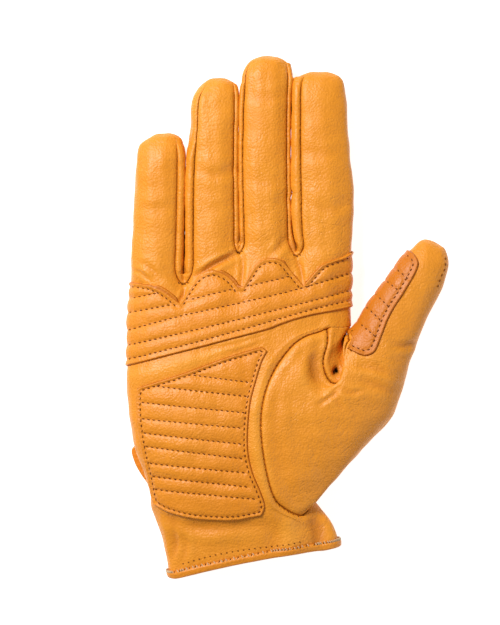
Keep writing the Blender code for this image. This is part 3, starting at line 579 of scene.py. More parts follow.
def seam_distance(borders):
    """Distance over the skin from the border points, carried from point to point over edges and diagonals."""
    away = np.full(len(skin), 0.02)
    away[borders] = 0.0
    pairs = np.concatenate([skin_faces[:, [0, 1]], skin_faces[:, [1, 2]], skin_faces[:, [2, 3]],
                            skin_faces[:, [3, 0]], skin_faces[:, [0, 2]], skin_faces[:, [1, 3]]])
    step = np.linalg.norm(skin[pairs[:, 0]] - skin[pairs[:, 1]], axis=1)
    for _ in range(10):
        np.minimum.at(away, pairs[:, 0], away[pairs[:, 1]] + step)
        np.minimum.at(away, pairs[:, 1], away[pairs[:, 0]] + step)
    return away


def seams_between():
    """Each edge of the skin that two panels share: its two points and the two panels."""
    edges = np.concatenate([skin_faces[:, [i, (i + 1) % 4]] for i in range(4)])
    owner = np.tile(skin_panel, 4)
    edges = np.sort(edges, axis=1)
    order = np.lexsort((edges[:, 1], edges[:, 0]))
    edges, owner = edges[order], owner[order]
    twin = np.all(edges[:-1] == edges[1:], axis=1) & (owner[:-1] != owner[1:])
    return edges[:-1][twin], np.sort(np.stack([owner[:-1][twin], owner[1:][twin]], axis=1), axis=1)


seam_edges, seam_panels = seams_between()
is_gusset = np.all(seam_panels == (THUMB, GUSSET), axis=1)
is_joint = (seam_panels[:, 1] == GUSSET) & ~is_gusset
is_strip = np.any((seam_panels >= 2) & (seam_panels <= 4), axis=1)
is_arc = (seam_panels[:, 0] == PALM) & (seam_panels[:, 1] == THUMB)
is_side = ~(is_gusset | is_joint | is_strip | is_arc)


def pressed_together(k, hole, opens):
    """Moves the two walls of a strip between fingers against each other. From its seam each wall rolls in
    along a quarter ellipse to the line between the fingers; below the open end of the pinch the web is
    drawn up to a shallow groove."""
    wall = np.unique(skin_faces[skin_panel == 2 + k])
    x, y, z = skin[wall].T
    turned = facing[wall, 0]
    step = ((y - y.min()) / PINCH_STEP).astype(int)
    left_x, right_x = np.full(step.max() + 1, -1.0), np.full(step.max() + 1, 1.0)
    np.maximum.at(left_x, step[turned > 0.3], x[turned > 0.3])
    np.minimum.at(right_x, step[turned < -0.3], x[turned < -0.3])
    known = (left_x > -1.0) & (right_x < 1.0)
    at = (y.min() + (np.arange(len(left_x)) + 0.5) * PINCH_STEP)[known]
    centre, opening = ((left_x + right_x) / 2.0)[known], (right_x - left_x)[known]
    middle, apart = np.interp(y, at, centre), np.interp(y, at, opening)
    rim = np.unique(seam_edges[(seam_panels[:, 0] == PALM) & (seam_panels[:, 1] == 2 + k)])
    rim = rim[np.argsort(skin[rim, 1])]
    side = np.sign(skin[rim, 0] - np.interp(skin[rim, 1], at, centre))
    beyond = y - hole
    level = z / FINGER_HEIGHT
    contact = CONTACT + HOLE_HALF * (fade(beyond, HOLE_LENGTH) * fade(-beyond, HOLE_START)
                                     * ramp(level, 0.70, 0.10))
    deeper = np.clip((0.55 - level) / 0.1, 0.0, 1.0)
    hole_shade[wall] = HOLE_SHADE * (np.clip(1.2 - beyond / HOLE_LENGTH, 0.0, 1.0) * fade(-beyond, 0.0016)
                                     * np.clip((0.82 - level) / 0.12, 0.0, 1.0))
    for sign in (-1.0, 1.0):
        seam = skin[rim[side == sign]]
        mine = (x - middle) * sign >= 0.0
        reach = np.abs(np.interp(y, seam[:, 1], seam[:, 0]) - middle)
        top = np.interp(y, seam[:, 1], seam[:, 2])
        away = np.abs(x - middle)
        fall = ramp(top, z, ROLL_DEPTH)
        pressed = np.maximum(reach * (1.0 - np.sqrt(1.0 - (1.0 - fall) ** 2)), contact)
        hold = (ramp(level, 0.12, 0.2) * ramp(opens, apart, 0.0014)
                * np.clip((beyond + 0.0012 + 0.0010 * deeper) / 0.0006, 0.0, 1.0))
        moved = away + hold * (np.minimum(away, pressed) - away)
        drawn = np.clip((hole - 0.0009 - y) / 0.0008, 0.0, 1.0) * (facing[wall, 2] > 0.0)
        groove = top - WEB_DIP * (1.0 - np.clip(away / np.maximum(reach, 0.0008), 0.0, 1.0)) ** 2
        skin[wall[mine], 0] = (middle + sign * moved)[mine]
        skin[wall[mine], 2] = (z + drawn * np.maximum(groove - z, 0.0))[mine]


def even_out_arc_end():
    """Smooths the skin round the lower end of the arc seam: again and again, each point there goes to the
    middle of its neighbours, by a share that fades with the distance."""
    for _ in range(ARC_END_ROUNDS):
        near = np.linalg.norm(skin[:, :2] - plan(*ARC_END), axis=1)
        near = np.clip(2.0 - near / ARC_END_REACH, 0.0, 1.0) * (skin[:, 2] > 0.4 * PALM_HEIGHT)
        around = np.zeros_like(skin)
        count = np.zeros(len(skin))
        for i in range(4):
            np.add.at(around, skin_faces[:, i], skin[skin_faces[:, i - 1]])
            np.add.at(count, skin_faces[:, i], 1.0)
        skin[:] += near[:, None] * (around / count[:, None] - skin)


even_out_arc_end()
up_thumb = (skin[:, :2] - base) @ thumb_up / THUMB_LENGTH
beside_thumb = (skin[:, :2] - base) @ thumb_side / THUMB_LENGTH
rim_shift = RIM_SHIFT * np.exp(-((up_thumb - RIM_AT[0]) / RIM_REACH[0]) ** 2
                               - ((beside_thumb - RIM_AT[1]) / RIM_REACH[1]) ** 2)
rim_shift *= np.clip(skin[:, 2] / PALM_HEIGHT - 0.1, 0.0, 0.4) / 0.4
touched = np.unique(skin_faces[(skin_panel == THUMB) | (skin_panel == GUSSET)])
skin[touched, :2] -= rim_shift[touched, None] * thumb_side
facing = corner_normals(skin, skin_faces)
hole_shade = np.zeros(len(skin))
for k, (hole, opens) in enumerate(PINCHES):
    pressed_together(k, plan(0.0, hole)[1], opens)
gusset_way, strip_way, arc_way, side_way = (seam_distance(seam_edges[kind].ravel())
                                            for kind in (is_gusset, is_strip, is_arc, is_side))
seam_way = np.minimum.reduce([gusset_way, strip_way, arc_way, side_way])


def rolled(away, reach, depth):
    """Depth of a seam's valley: a quarter circle that turns down over the reach beside the seam."""
    inside = fade(away, reach)
    return depth * (1.0 - np.sqrt(1.0 - inside**2))


facing = corner_normals(skin, skin_faces)
upward = np.clip(facing[:, 2] * 2.5, 0.0, 1.0)
fold_depth = np.zeros(len(skin))
for x0, y0, x1, y1, x2, y2, width, depth in FOLDS:
    line = way_along([plan(x0, y0), plan(x1, y1), plan(x2, y2)], 13)
    near = np.where(np.all(np.abs(skin[:, :2] - line.mean(axis=0)) < 0.02 + np.ptp(line, axis=0), axis=1))[0]
    gap, share = away_from(skin[near, :2], line)
    gap = gap / (width * 0.001)
    taper = np.sqrt(np.clip(np.sin(np.pi * np.clip(share, 0.04, 0.96)), 0.0, 1.0))
    fold_depth[near] += depth * FOLD_SCALE * taper * (np.exp(-gap**2) - 0.35 * bell(gap - 2.0, 0.9))
rng = np.random.default_rng(7)
swell = np.zeros(len(skin))
for _ in range(GRAIN_SWELLS):
    wave = rng.normal(size=3) * 2.0 * np.pi / rng.uniform(0.012, 0.034)
    swell += np.sin(skin @ wave + rng.uniform(0.0, 2.0 * np.pi)) * 0.00007
lift = swell - upward * fold_depth
finger = np.searchsorted([plan(c[0], 0.0)[0] for c in CROTCHES], skin[:, 0])
tips = np.array([plan(0.0, 1.0)[1] + entry[0] for entry in FINGERS])
tip_fade = ramp(tips[finger] - skin[:, 1], 0.0035, 0.0050)
for away, share, (reach, depth, place, width, height) in (
        (strip_way, tip_fade, STRIP_SEAM), (arc_way, 1.0, ARC_SEAM), (gusset_way, 1.0, GUSSET_SEAM),
        (side_way, 1.0, SIDE_SEAM)):
    lift -= share * rolled(away, reach, depth)
    lift += share * (height * bell(away - place, width)) * (away < SEAM_FAR)
in_gusset = np.zeros(len(skin), bool)
in_gusset[np.unique(skin_faces[skin_panel == GUSSET])] = True
notch_away = np.linalg.norm(skin[:, :2] - plan(*NOTCH_HOLE), axis=1)
notch_shade = 0.9 * bell(notch_away, 0.0085) + 3.5 * np.exp(-(notch_away / 0.0016) ** 4)
notch_shade = in_gusset * np.clip(seam_way / 0.0012, 0.0, 1.0) * notch_shade
skin[:, 2] -= in_gusset * upward * 0.0050 * np.exp(-(notch_away / 0.0014) ** 4)
skin += facing * lift[:, None]
skin[:, 2] = np.maximum(skin[:, 2], 0.0)
facing = corner_normals(skin, skin_faces)


def node(tree, kind, settings=None, **inputs):
    """A shader node with its settings and inputs: a socket is linked, anything else is set as the value."""
    made = tree.nodes.new("ShaderNode" + kind)
    for key, value in (settings or {}).items():
        setattr(made, key, value)
    for key, value in inputs.items():
        numbered = key[0] == "i" and key[1:].isdigit()
        socket = made.inputs[int(key[1:]) if numbered else key.replace("_", " ")]
        if isinstance(value, bpy.types.NodeSocket):
            tree.links.new(value, socket)
        else:
            socket.default_value = value
    return made


def group(name, sockets_in, sockets_out):
    """An empty shader node group with its named inputs and outputs."""
    tree = bpy.data.node_groups.new(name, "ShaderNodeTree")
    for label, kind, value in sockets_in:
        tree.interface.new_socket(label, in_out="INPUT", socket_type=kind).default_value = value
    for label, kind in sockets_out:
        tree.interface.new_socket(label, in_out="OUTPUT", socket_type=kind)
    return tree, tree.nodes.new("NodeGroupInput"), tree.nodes.new("NodeGroupOutput")


def maths(tree, operation, *values):
    """What a maths node makes of the values."""
    return node(tree, "Math", {"operation": operation},
                **{f"i{k}": v for k, v in enumerate(values)}).outputs[0]


def mixed_colour(tree, share, first, second):
    """The first colour, turned to the second by the share."""
    return node(tree, "Mix", {"data_type": "RGBA"}, Factor=share, i6=first, i7=second).outputs[2]


def mapped(tree, value, start, end, low=0.0, high=1.0, kind="LINEAR"):
    """The value, moved from the range between start and end to that between low and high."""
    return node(tree, "MapRange", {"interpolation_type": kind}, Value=value, From_Min=start, From_Max=end,
                To_Min=low, To_Max=high).outputs[0]


def noise(tree, place, scale, detail, roughness=0.5, distortion=0.0):
    """A soft noise over the object's own space."""
    return node(tree, "TexNoise", Vector=place, Scale=scale, Detail=detail, Roughness=roughness,
                Distortion=distortion).outputs["Fac"]


def leather_grain_group():
    """Height of the leather's surface: fine pebbles, a softer swell and thin creases where a noise crosses
    its middle value."""
    tree, _, outside = group("leather_grain", (), (("Height", "NodeSocketFloat"),))
    place = node(tree, "TexCoord").outputs["Object"]
    pebble = node(tree, "TexVoronoi", {"feature": "SMOOTH_F1"}, Vector=place, Scale=1050.0, Smoothness=0.6)
    soft = noise(tree, place, 190.0, 4.0, 0.6)
    wander = noise(tree, place, 75.0, 3.0, 0.55, 0.7)
    off = maths(tree, "ABSOLUTE", maths(tree, "SUBTRACT", wander, 0.5))
    line = mapped(tree, off, 0.0, 0.035, 1.0, 0.0, "SMOOTHSTEP")
    patchy = mapped(tree, noise(tree, place, 22.0, 1.0), 0.42, 0.62)
    line = maths(tree, "MULTIPLY", line, patchy)
    high = maths(tree, "MULTIPLY_ADD", pebble.outputs["Distance"], -0.75, soft)
    high = maths(tree, "MULTIPLY_ADD", line, -0.35, high)
    tree.links.new(high, outside.inputs["Height"])
    return tree


# Near black, painted as shade deep in the holes between the fingers and in the gusset's notch
HOLE_SHADE_COLOUR = (0.03, 0.006, 0.001, 1.0)


def leather_tone_group():
    """Colour of dyed leather: the base colour with broad and fine mottling, turned to the darker shade colour as
    painted shade in seams, along edges and in folds, to the worn colour on ridges, and to nearly black as
    painted shade deep in the holes."""
    tree, inside, outside = group("leather_tone", (
        ("Base", "NodeSocketColor", (0.8, 0.3, 0.04, 1.0)),
        ("Crease", "NodeSocketColor", (0.4, 0.1, 0.01, 1.0)),
        ("Worn", "NodeSocketColor", (0.9, 0.4, 0.08, 1.0)), ("Seam", "NodeSocketFloat", 4.0),
        ("Fold", "NodeSocketFloat", 0.0)), (("Color", "NodeSocketColor"), ("Roughness", "NodeSocketFloat")))
    place = node(tree, "TexCoord").outputs["Object"]
    seam, fold = inside.outputs["Seam"], inside.outputs["Fold"]
    crease, worn = inside.outputs["Crease"], inside.outputs["Worn"]
    broad = mapped(tree, noise(tree, place, 26.0, 3.0), 0.35, 0.7, 0.0, 0.22)
    fine = mapped(tree, noise(tree, place, 520.0, 2.0, 0.6), 0.35, 0.65, 0.0, 0.10)
    # Painted shade in seam valleys and along patch, binding and strap edges, where the seam mark is small
    near = mapped(tree, seam, 0.0, 0.55, 0.66, 0.0, "SMOOTHSTEP")
    # Painted shade in folds, stitch grooves, the notch and the holes, from the fold mark, joined to the seam's
    dark = maths(tree, "MAXIMUM", near, mapped(tree, fold, 0.25, 1.3, 0.0, 0.45))
    ridge = mapped(tree, fold, 0.0, -0.8, 0.0, 0.4)
    # Near black painted as shade where the fold mark is largest, deep in the holes
    painted_hole_shade = mapped(tree, fold, 1.6, 3.6, 0.0, 0.92)
    tone = inside.outputs["Base"]
    for share, colour in ((broad, worn), (fine, crease), (dark, crease), (ridge, worn),
                          (painted_hole_shade, HOLE_SHADE_COLOUR)):
        tone = mixed_colour(tree, share, tone, colour)
    tree.links.new(tone, outside.inputs["Color"])
    rough = mapped(tree, noise(tree, place, 90.0, 3.0), 0.3, 0.7, 0.40, 0.54)
    tree.links.new(rough, outside.inputs["Roughness"])
    return tree


grain_group = leather_grain_group()
tone_group = leather_tone_group()


GRAIN_RELIEF = 0.00035


def new_material(name):
    """A new material with its node tree and its shader."""
    material = bpy.data.materials.new(name)
    material.use_nodes = True
    tree = material.node_tree
    return material, tree, tree.nodes["Principled BSDF"]


def leather(name, dyed, crease, worn):
    """Material of soft dyed leather with a low sheen, its colour and grain from the two leather groups."""
    material, tree, shader = new_material(name)
    seam = node(tree, "Attribute", {"attribute_name": "seam"})
    fold = node(tree, "Attribute", {"attribute_name": "fold"})
    tone = node(tree, "Group", {"node_tree": tone_group}, Base=(*dyed, 1.0), Crease=(*crease, 1.0),
                Worn=(*worn, 1.0), Seam=seam.outputs["Fac"], Fold=fold.outputs["Fac"])
    grain = node(tree, "Group", {"node_tree": grain_group})
    bump = node(tree, "Bump", Strength=0.8, Distance=GRAIN_RELIEF, Height=grain.outputs["Height"])
    tree.links.new(tone.outputs["Color"], shader.inputs["Base Color"])
    tree.links.new(tone.outputs["Roughness"], shader.inputs["Roughness"])
    tree.links.new(bump.outputs["Normal"], shader.inputs["Normal"])
    shader.inputs["Specular IOR Level"].default_value = 0.32
    shader.inputs["Coat Weight"].default_value = 0.08
    shader.inputs["Coat Roughness"].default_value = 0.35
    return material


def marks(piece, seam, fold):
    """Puts on the piece's points the distance from the seam in millimetres and the fold mark: the depth of folds
    with any painted shade added, from which the leather paints shade.
    """
    for label, values in (("seam", seam), ("fold", fold)):
        layer = piece.data.attributes.new(label, "FLOAT", "POINT")
        layer.data.foreach_set("value", np.asarray(values, np.float32))


panel_leather = leather("panel_leather", (0.76, 0.265, 0.014), (0.42, 0.105, 0.006), (0.86, 0.36, 0.035))


def panel_piece(number):
    """One leather panel: its faces of the skin, with the leather's thickness put on inwards."""
    mine = skin_faces[skin_panel == number]
    used, corners = np.unique(mine, return_inverse=True)
    piece = new_object("leather_" + PANELS[number], skin[used], corners.reshape(-1, 4))
    # The seam mark paints shade in the seam valleys; the fold mark paints shade in the folds, with the notch and
    # hole values painting shade in the gusset's notch and the holes between the fingers
    marks(piece, np.minimum(seam_way[used] * 1000.0 + 4.0 * (1.0 - tip_fade[used]), 4.0),
          upward[used] * fold_depth[used] * 1000.0 + notch_shade[used] + hole_shade[used])
    piece.data.materials.append(panel_leather)
    wall = piece.modifiers.new("leather", "SOLIDIFY")
    wall.thickness = LEATHER
    wall.offset = -1.0
    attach(piece, "root")
    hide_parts(PANELS[number])
    return piece


for number in range(len(PANELS)):
    panel_piece(number)


# Palm band. A second layer of the same leather lies across the palm under the fingers, with a scalloped
# upper edge that turns round each finger root. Rows of dark lockstitch quilt it over thin padding, and its
# ends run into the side seams.

BAND_SCALLOPS = (
    # knots of each scallop from valley to valley, across and along
    ((-0.040, 0.917), (0.026, 0.914), (0.115, 0.905), (0.181, 0.883), (0.242, 0.849)),
    ((0.242, 0.849), (0.278, 0.892), (0.326, 0.933), (0.388, 0.949), (0.445, 0.935), (0.480, 0.914),
     (0.507, 0.889)),
    ((0.507, 0.889), (0.546, 0.934), (0.577, 0.967), (0.628, 0.986), (0.687, 0.980), (0.731, 0.947),
     (0.784, 0.903)),
    ((0.784, 0.903), (0.819, 0.934), (0.863, 0.967), (0.907, 0.982), (0.956, 0.995), (1.020, 1.020)),
)
BAND_LOW = ((-0.040, 0.645), (0.009, 0.655), (0.300, 0.708), (0.577, 0.758), (0.694, 0.787), (0.811, 0.811),
            (0.943, 0.828), (1.020, 0.842))
BAND_LINES = (
    ((-0.010, 0.859), (0.035, 0.865), (0.145, 0.880)),
    ((-0.010, 0.817), (0.060, 0.826), (0.207, 0.845)),
    ((0.291, 0.860), (0.380, 0.876), (0.476, 0.892)),
    ((0.544, 0.902), (0.640, 0.917), (0.727, 0.932)),
    ((-0.010, 0.762), (0.013, 0.766), (0.242, 0.809), (0.520, 0.852), (0.758, 0.892), (0.993, 0.942),
     (1.01, 0.946)),
    ((-0.010, 0.716), (0.013, 0.720), (0.264, 0.760), (0.520, 0.803), (0.868, 0.865), (0.993, 0.890),
     (1.01, 0.895)),
    ((-0.010, 0.673), (0.013, 0.677), (0.225, 0.714), (0.520, 0.770), (0.811, 0.828), (0.987, 0.858),
     (1.01, 0.863)),
)
BAND_EDGE_STITCH = 0.0021
BAND_COLUMNS = 220
BAND_STEPS = 76

# Stitches and quilting, the same on all three patches
STITCH_PITCH = 0.0025
STITCH_LENGTH = 0.0016
THREAD = 0.00029
ROD_STATIONS = 7
ROD_SIDES = 6
RIM_ROUND = 0.0009
RIM_LIP = 0.00025
GROOVE_WIDTH = 0.0007
PATCH_LEATHER = 0.0012
# Seam mark per metre from a patch's edge; its low values paint shade along the edge
EDGE_SHADE_MARK = 600.0

shell_form = new_object("shell_form", skin, skin_faces)


def laid_on(spots, form, above=False):
    """Each point moved to the nearest place on the form, or straight down onto it."""
    probe = new_object("probe", spots, [])
    wrap = probe.modifiers.new("lay", "SHRINKWRAP")
    wrap.target = form
    if above:
        wrap.wrap_method = "PROJECT"
        wrap.use_project_z = True
        wrap.use_positive_direction = False
        wrap.use_negative_direction = True
    placed = evaluated(probe)[0]
    bpy.data.objects.remove(probe)
    return placed


def grid_faces(rows, columns):
    """Corner numbers of a grid's faces, row by row, with columns to the right and rows upwards."""
    start = np.arange(rows - 1)[:, None] * columns + np.arange(columns - 1)
    return np.stack([start, start + 1, start + columns + 1, start + columns], axis=-1).reshape(-1, 4)


def plan_line(knots, count):
    """A smooth line in the plan through knots given as shares across and along, in metres."""
    return way_along([plan(*knot) for knot in knots], count)


def nearest_of(places, lines):
    """Distance in the plan to the nearest of the lines, and the length along that line."""
    found = [away_from(places, line) for line in lines]
    lengths = [np.linalg.norm(np.diff(line, axis=0), axis=1).sum() for line in lines]
    gaps = np.array([gap for gap, _ in found])
    nearest = gaps.argmin(axis=0)
    shares = np.array([share * length for (_, share), length in zip(found, lengths)])
    columns = np.arange(len(places))
    return gaps[nearest, columns], shares[nearest, columns]


def quilting(edge, stitch, along, inset, rim, padding, groove):
    """Height of a quilted patch over the shell: a rim with a quarter-round edge, padding that swells away
    from the stitch lines, and a narrow groove at each line that is deeper where the thread pulls."""
    rim_height = rim * np.sqrt(1.0 - fade(edge, RIM_ROUND) ** 2)
    lip = RIM_LIP * bell(edge - 0.0007, 0.0005)
    within = ramp(edge, inset, 0.0012)
    swell_height = (0.25 + 0.75 * within) * padding * (1.0 - bell(stitch, 0.0021))
    pull = 1.0 + 0.35 * np.cos(2.0 * np.pi * along / STITCH_PITCH)
    return rim_height + lip + swell_height - groove * pull * bell(stitch, GROOVE_WIDTH)


def offset_line(line, inset, outline):
    """The line moved sideways to its right by the inset, without what comes nearer to the outline than
    that."""
    way = np.gradient(line, axis=0)
    moved = line + inset * unit(np.stack([way[:, 1], -way[:, 0]], axis=1))
    return moved[away_from(moved, outline)[0] > 0.99 * inset]


def stitches(runs, form, pitch=STITCH_PITCH, length=STITCH_LENGTH, thread=THREAD, slant=-12.0, proud=0.00018):
    """Points and faces of thread stitches on a form: for each a rod of round sections that rises in the
    middle and dips at both ends, laid at even steps along each run and turned a little from it."""
    middles, ways = [], []
    for run in runs:
        length_all = np.linalg.norm(np.diff(run, axis=0), axis=1).sum()
        count = max(2, int(round(length_all / pitch)))
        line = even_steps(run, 2 * count + 1)
        middles.append(line[1::2])
        ways.append(unit(line[2::2] - line[:-1:2]))
    middles, ways = np.concatenate(middles), np.concatenate(ways)
    a = np.radians(slant)
    turned = ways @ np.array([[np.cos(a), np.sin(a)], [-np.sin(a), np.cos(a)]])
    beside = np.stack([-turned[:, 1], turned[:, 0]], axis=1)
    spots = [middles - turned * length / 2.0, middles + turned * length / 2.0, middles - beside * 0.0006,
             middles + beside * 0.0006]
    high = np.full((len(middles), 1), 2.0 * PALM_HEIGHT)
    start, end, low, top = (laid_on(np.hstack([spot, high]), form, above=True) for spot in spots)
    kept = np.all([part[:, 2] < 1.9 * PALM_HEIGHT for part in (start, end, low, top)], axis=0)
    start, end, low, top = start[kept], end[kept], low[kept], top[kept]
    way, side = unit(end - start), unit(top - low)
    out = unit(np.cross(way, side))
    return rods((start + end) / 2.0, way, np.cross(out, way), out, length, thread, proud)


def rods(centre, way, side, out, length, thread, proud):
    """Rods of seven six-sided sections: half length times the station along, a radius that closes at both
    ends, and a centre line that is a low parabola."""
    station = np.linspace(-1.0, 1.0, ROD_STATIONS)
    radius = thread * np.sqrt(1.0 - 0.97 * station**2)
    angle = np.arange(ROD_SIDES) * np.pi / 3.0
    across = radius[:, None] * np.cos(angle)
    up = radius[:, None] * np.sin(angle) + (proud * (1.0 - 1.6 * station**2))[:, None]
    spots = (centre[:, None, None] + station[None, :, None, None] * way[:, None, None] * length / 2.0
             + across[None, :, :, None] * side[:, None, None] + up[None, :, :, None] * out[:, None, None])
    ring = np.arange(ROD_SIDES)
    low, turned = np.arange(ROD_STATIONS - 1)[:, None] * ROD_SIDES, (ring + 1) % ROD_SIDES
    walls = np.stack([low + ring, low + turned, low + ROD_SIDES + turned, low + ROD_SIDES + ring], axis=-1)
    start = ROD_STATIONS * ROD_SIDES * np.arange(len(centre))[:, None, None]
    faces = walls.reshape(1, -1, 4) + start
    ends = np.stack([ring[::-1], (ROD_STATIONS - 1) * ROD_SIDES + ring])[None] + start
    return spots.reshape(-1, 3), faces.reshape(-1, 4), ends.reshape(-1, ROD_SIDES)


def thread_piece(name, sets, material):
    """One object of all the stitches in the sets."""
    spots, walls, count = [], [], 0
    for points, faces, ends in sets:
        spots.append(points)
        walls += (faces + count).tolist() + (ends + count).tolist()
        count += len(points)
    piece = new_object(name, np.concatenate(spots), walls)
    piece.data.materials.append(material)
    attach(piece, "root")
    return piece


def thread_look(name, dark, light):
    """Material of matt waxed thread: fibres of a dark and a light tone."""
    material, tree, shader = new_material(name)
    fibres = noise(tree, node(tree, "TexCoord").outputs["Object"], 1800.0, 2.0)
    tone = mixed_colour(tree, fibres, (*dark, 1.0), (*light, 1.0))
    bump = node(tree, "Bump", Strength=0.5, Distance=0.0001, Height=fibres)
    tree.links.new(tone, shader.inputs["Base Color"])
    tree.links.new(bump.outputs["Normal"], shader.inputs["Normal"])
    shader.inputs["Roughness"].default_value = 0.7
    shader.inputs["Specular IOR Level"].default_value = 0.15
    return material


brown_thread = thread_look("brown_thread", (0.10, 0.024, 0.003), (0.23, 0.062, 0.008))
pale_thread = thread_look("pale_thread", (0.42, 0.25, 0.11), (0.78, 0.60, 0.38))


def patch_object(name, node_name, spots, faces, heights, seam, stitch, material):
    """A patch of leather: the laid grid moved out by its heights, and given a body that sinks into the
    shell."""
    piece = new_object(name, spots + corner_normals(spots, faces) * heights[:, None], faces)
    # The seam mark paints shade along the patch's edge, and the fold mark paints a little shade in the stitch
    # grooves
    marks(piece, np.clip(seam, 0.0, 4.0), 0.45 * bell(stitch, 0.0008))
    piece.data.materials.append(material)
    wall = piece.modifiers.new("leather", "SOLIDIFY")
    wall.thickness = PATCH_LEATHER
    wall.offset = -1.0
    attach(piece, "root")
    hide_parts(node_name)
    return piece


patch_leather = leather("patch_leather", (0.74, 0.244, 0.011), (0.40, 0.095, 0.005), (0.82, 0.325, 0.03))


def palm_band():
    """The band's grid: columns at even angles of the hand's section from one side seam to the other, rows
    from the lower edge to the scalloped edge."""
    top = np.concatenate([plan_line(knots, 60) for knots in BAND_SCALLOPS])
    low = plan_line(BAND_LOW, 80)
    angle = np.linspace(np.pi, 0.0, BAND_COLUMNS)
    power = 2.0 / HAND_POWER
    out, up = np.sign(np.cos(angle)) * np.abs(np.cos(angle)) ** power, np.sin(angle) ** power
    table = np.array(HAND_ROWS)
    nominal = plan(0.014, 0.0)[0] + (out + 1.0) / 2.0 * PALM_WIDTH * 0.982
    rise = np.linspace(0.0, 1.0, BAND_STEPS)[:, None]
    y_low, y_top = np.interp(nominal, low[:, 0], low[:, 1]), np.interp(nominal, top[:, 0], top[:, 1])
    y = y_low + rise * (y_top - y_low)
    along = (y - PLAN_START) / HAND_LENGTH
    left, right = np.interp(along, table[:, 1], table[:, 0]), np.interp(along, table[:, 3], table[:, 2])
    x = PALM_WIDTH * ((left + right) / 2.0 - MIDDLE_ACROSS + out * (right - left) / 2.0)
    high, deep = (np.interp(along, (table[:, 1] + table[:, 3]) / 2.0, table[:, k]) for k in (6, 7))
    z = PALM_HEIGHT * ((high + deep) / 2.0 + up * (high - deep) / 2.0)
    spots = laid_on(np.stack([x, y, z], axis=-1).reshape(-1, 3), shell_form)
    faces = grid_faces(BAND_STEPS, BAND_COLUMNS)
    places = spots[:, :2]
    edge = np.minimum(away_from(places, top)[0], away_from(places, low)[0])
    edge_stitch = [offset_line(plan_line(knots, 60), BAND_EDGE_STITCH, top) for knots in BAND_SCALLOPS]
    lines = [plan_line(knots, 40) for knots in BAND_LINES]
    stitch, run = nearest_of(places, edge_stitch + lines)
    heights = quilting(edge, stitch, run, BAND_EDGE_STITCH, 0.0009, 0.00040, 0.00035)
    band = patch_object("band_of_the_palm", "palm_band", spots, faces, heights,
                        edge * EDGE_SHADE_MARK, stitch, patch_leather)
    thread_piece("thread_of_the_band", [stitches(edge_stitch + lines, band)], brown_thread)


palm_band()


# Heel pad. A shield of the same leather on the heel of the hand, quilted with nine rows of dark lockstitch
# and sewn down all round a little inside its edge.

HEEL_TOP = ((0.060, 0.589), (0.084, 0.597), (0.170, 0.616), (0.275, 0.640), (0.427, 0.680), (0.542, 0.705),
            (0.600, 0.715), (0.628, 0.703))
HEEL_RIGHT = ((0.601, 0.203), (0.617, 0.234), (0.595, 0.283), (0.564, 0.335), (0.544, 0.400), (0.544, 0.474),
              (0.555, 0.548), (0.577, 0.609), (0.601, 0.665), (0.628, 0.703))
HEEL_BOTTOM = ((0.132, 0.234), (0.198, 0.212), (0.313, 0.194), (0.465, 0.189), (0.601, 0.203))
HEEL_LEFT = ((0.132, 0.234), (0.119, 0.262), (0.101, 0.329), (0.078, 0.400), (0.062, 0.474), (0.056, 0.535),
             (0.057, 0.565), (0.060, 0.589))
HEEL_LINES = (
    # quilting rows: from across, along, to across, along
    (0.300, 0.631, 0.548, 0.609), (0.139, 0.597, 0.542, 0.566), (0.066, 0.548, 0.533, 0.517),
    (0.070, 0.498, 0.515, 0.471), (0.079, 0.455, 0.518, 0.422), (0.082, 0.415, 0.522, 0.378),
    (0.101, 0.363, 0.533, 0.335), (0.115, 0.323, 0.544, 0.292), (0.123, 0.283, 0.577, 0.255),
)
HEEL_EDGE_STITCH = 0.0018
HEEL_COLUMNS = 110
HEEL_STEPS = 150


def coons(bottom, right, top, left):
    """Grid between four edge curves: what the two pairs of edges give, added, less what the four corners
    give."""
    s, t = np.linspace(0.0, 1.0, len(bottom))[None, :, None], np.linspace(0.0, 1.0, len(left))[:, None, None]
    between = (1 - t) * bottom[None] + t * top[None] + (1 - s) * left[:, None] + s * right[:, None]
    corners = ((1 - s) * (1 - t) * bottom[0] + s * (1 - t) * bottom[-1]
               + (1 - s) * t * top[0] + s * t * top[-1])
    return (between - corners).reshape(-1, bottom.shape[1])


def heel_pad():
    """The heel pad's grid between its four edges, laid straight down on the shell and quilted."""
    bottom, top = plan_line(HEEL_BOTTOM, HEEL_COLUMNS), plan_line(HEEL_TOP, HEEL_COLUMNS)
    left, right = plan_line(HEEL_LEFT, HEEL_STEPS), plan_line(HEEL_RIGHT, HEEL_STEPS)
    places = coons(bottom, right, top, left)
    spots = laid_on(np.hstack([places, np.full((len(places), 1), 2.0 * PALM_HEIGHT)]), shell_form, above=True)
    outline = np.concatenate([bottom, right, top[::-1], left[::-1]])
    edge = away_from(places, outline)[0]
    around = np.concatenate([left, top, right[::-1], bottom[::-1]])
    edge_stitch = offset_line(around, HEEL_EDGE_STITCH, outline)
    edge_stitch = np.concatenate([edge_stitch, edge_stitch[:1]])
    lines = [np.linspace(plan(x0, y0), plan(x1, y1), 200) for x0, y0, x1, y1 in HEEL_LINES]
    lines = [line[away_from(line, outline)[0] > HEEL_EDGE_STITCH * 0.9] for line in lines]
    stitch, run = nearest_of(places, [edge_stitch] + lines)
    heights = quilting(edge, stitch, run, HEEL_EDGE_STITCH, 0.0009, 0.00035, 0.00035)
    pad = patch_object("pad_of_the_heel", "heel_pad", spots, grid_faces(HEEL_STEPS, HEEL_COLUMNS), heights,
                       edge * EDGE_SHADE_MARK, stitch, patch_leather)
    thread_piece("thread_of_the_heel", [stitches([edge_stitch] + lines, pad)], brown_thread)


heel_pad()


# Thumb pad. A tongue of leather dyed a deeper orange covers the inner side of the thumb, with five cross
# rows of stitching. It wraps over the edge towards the fingers.

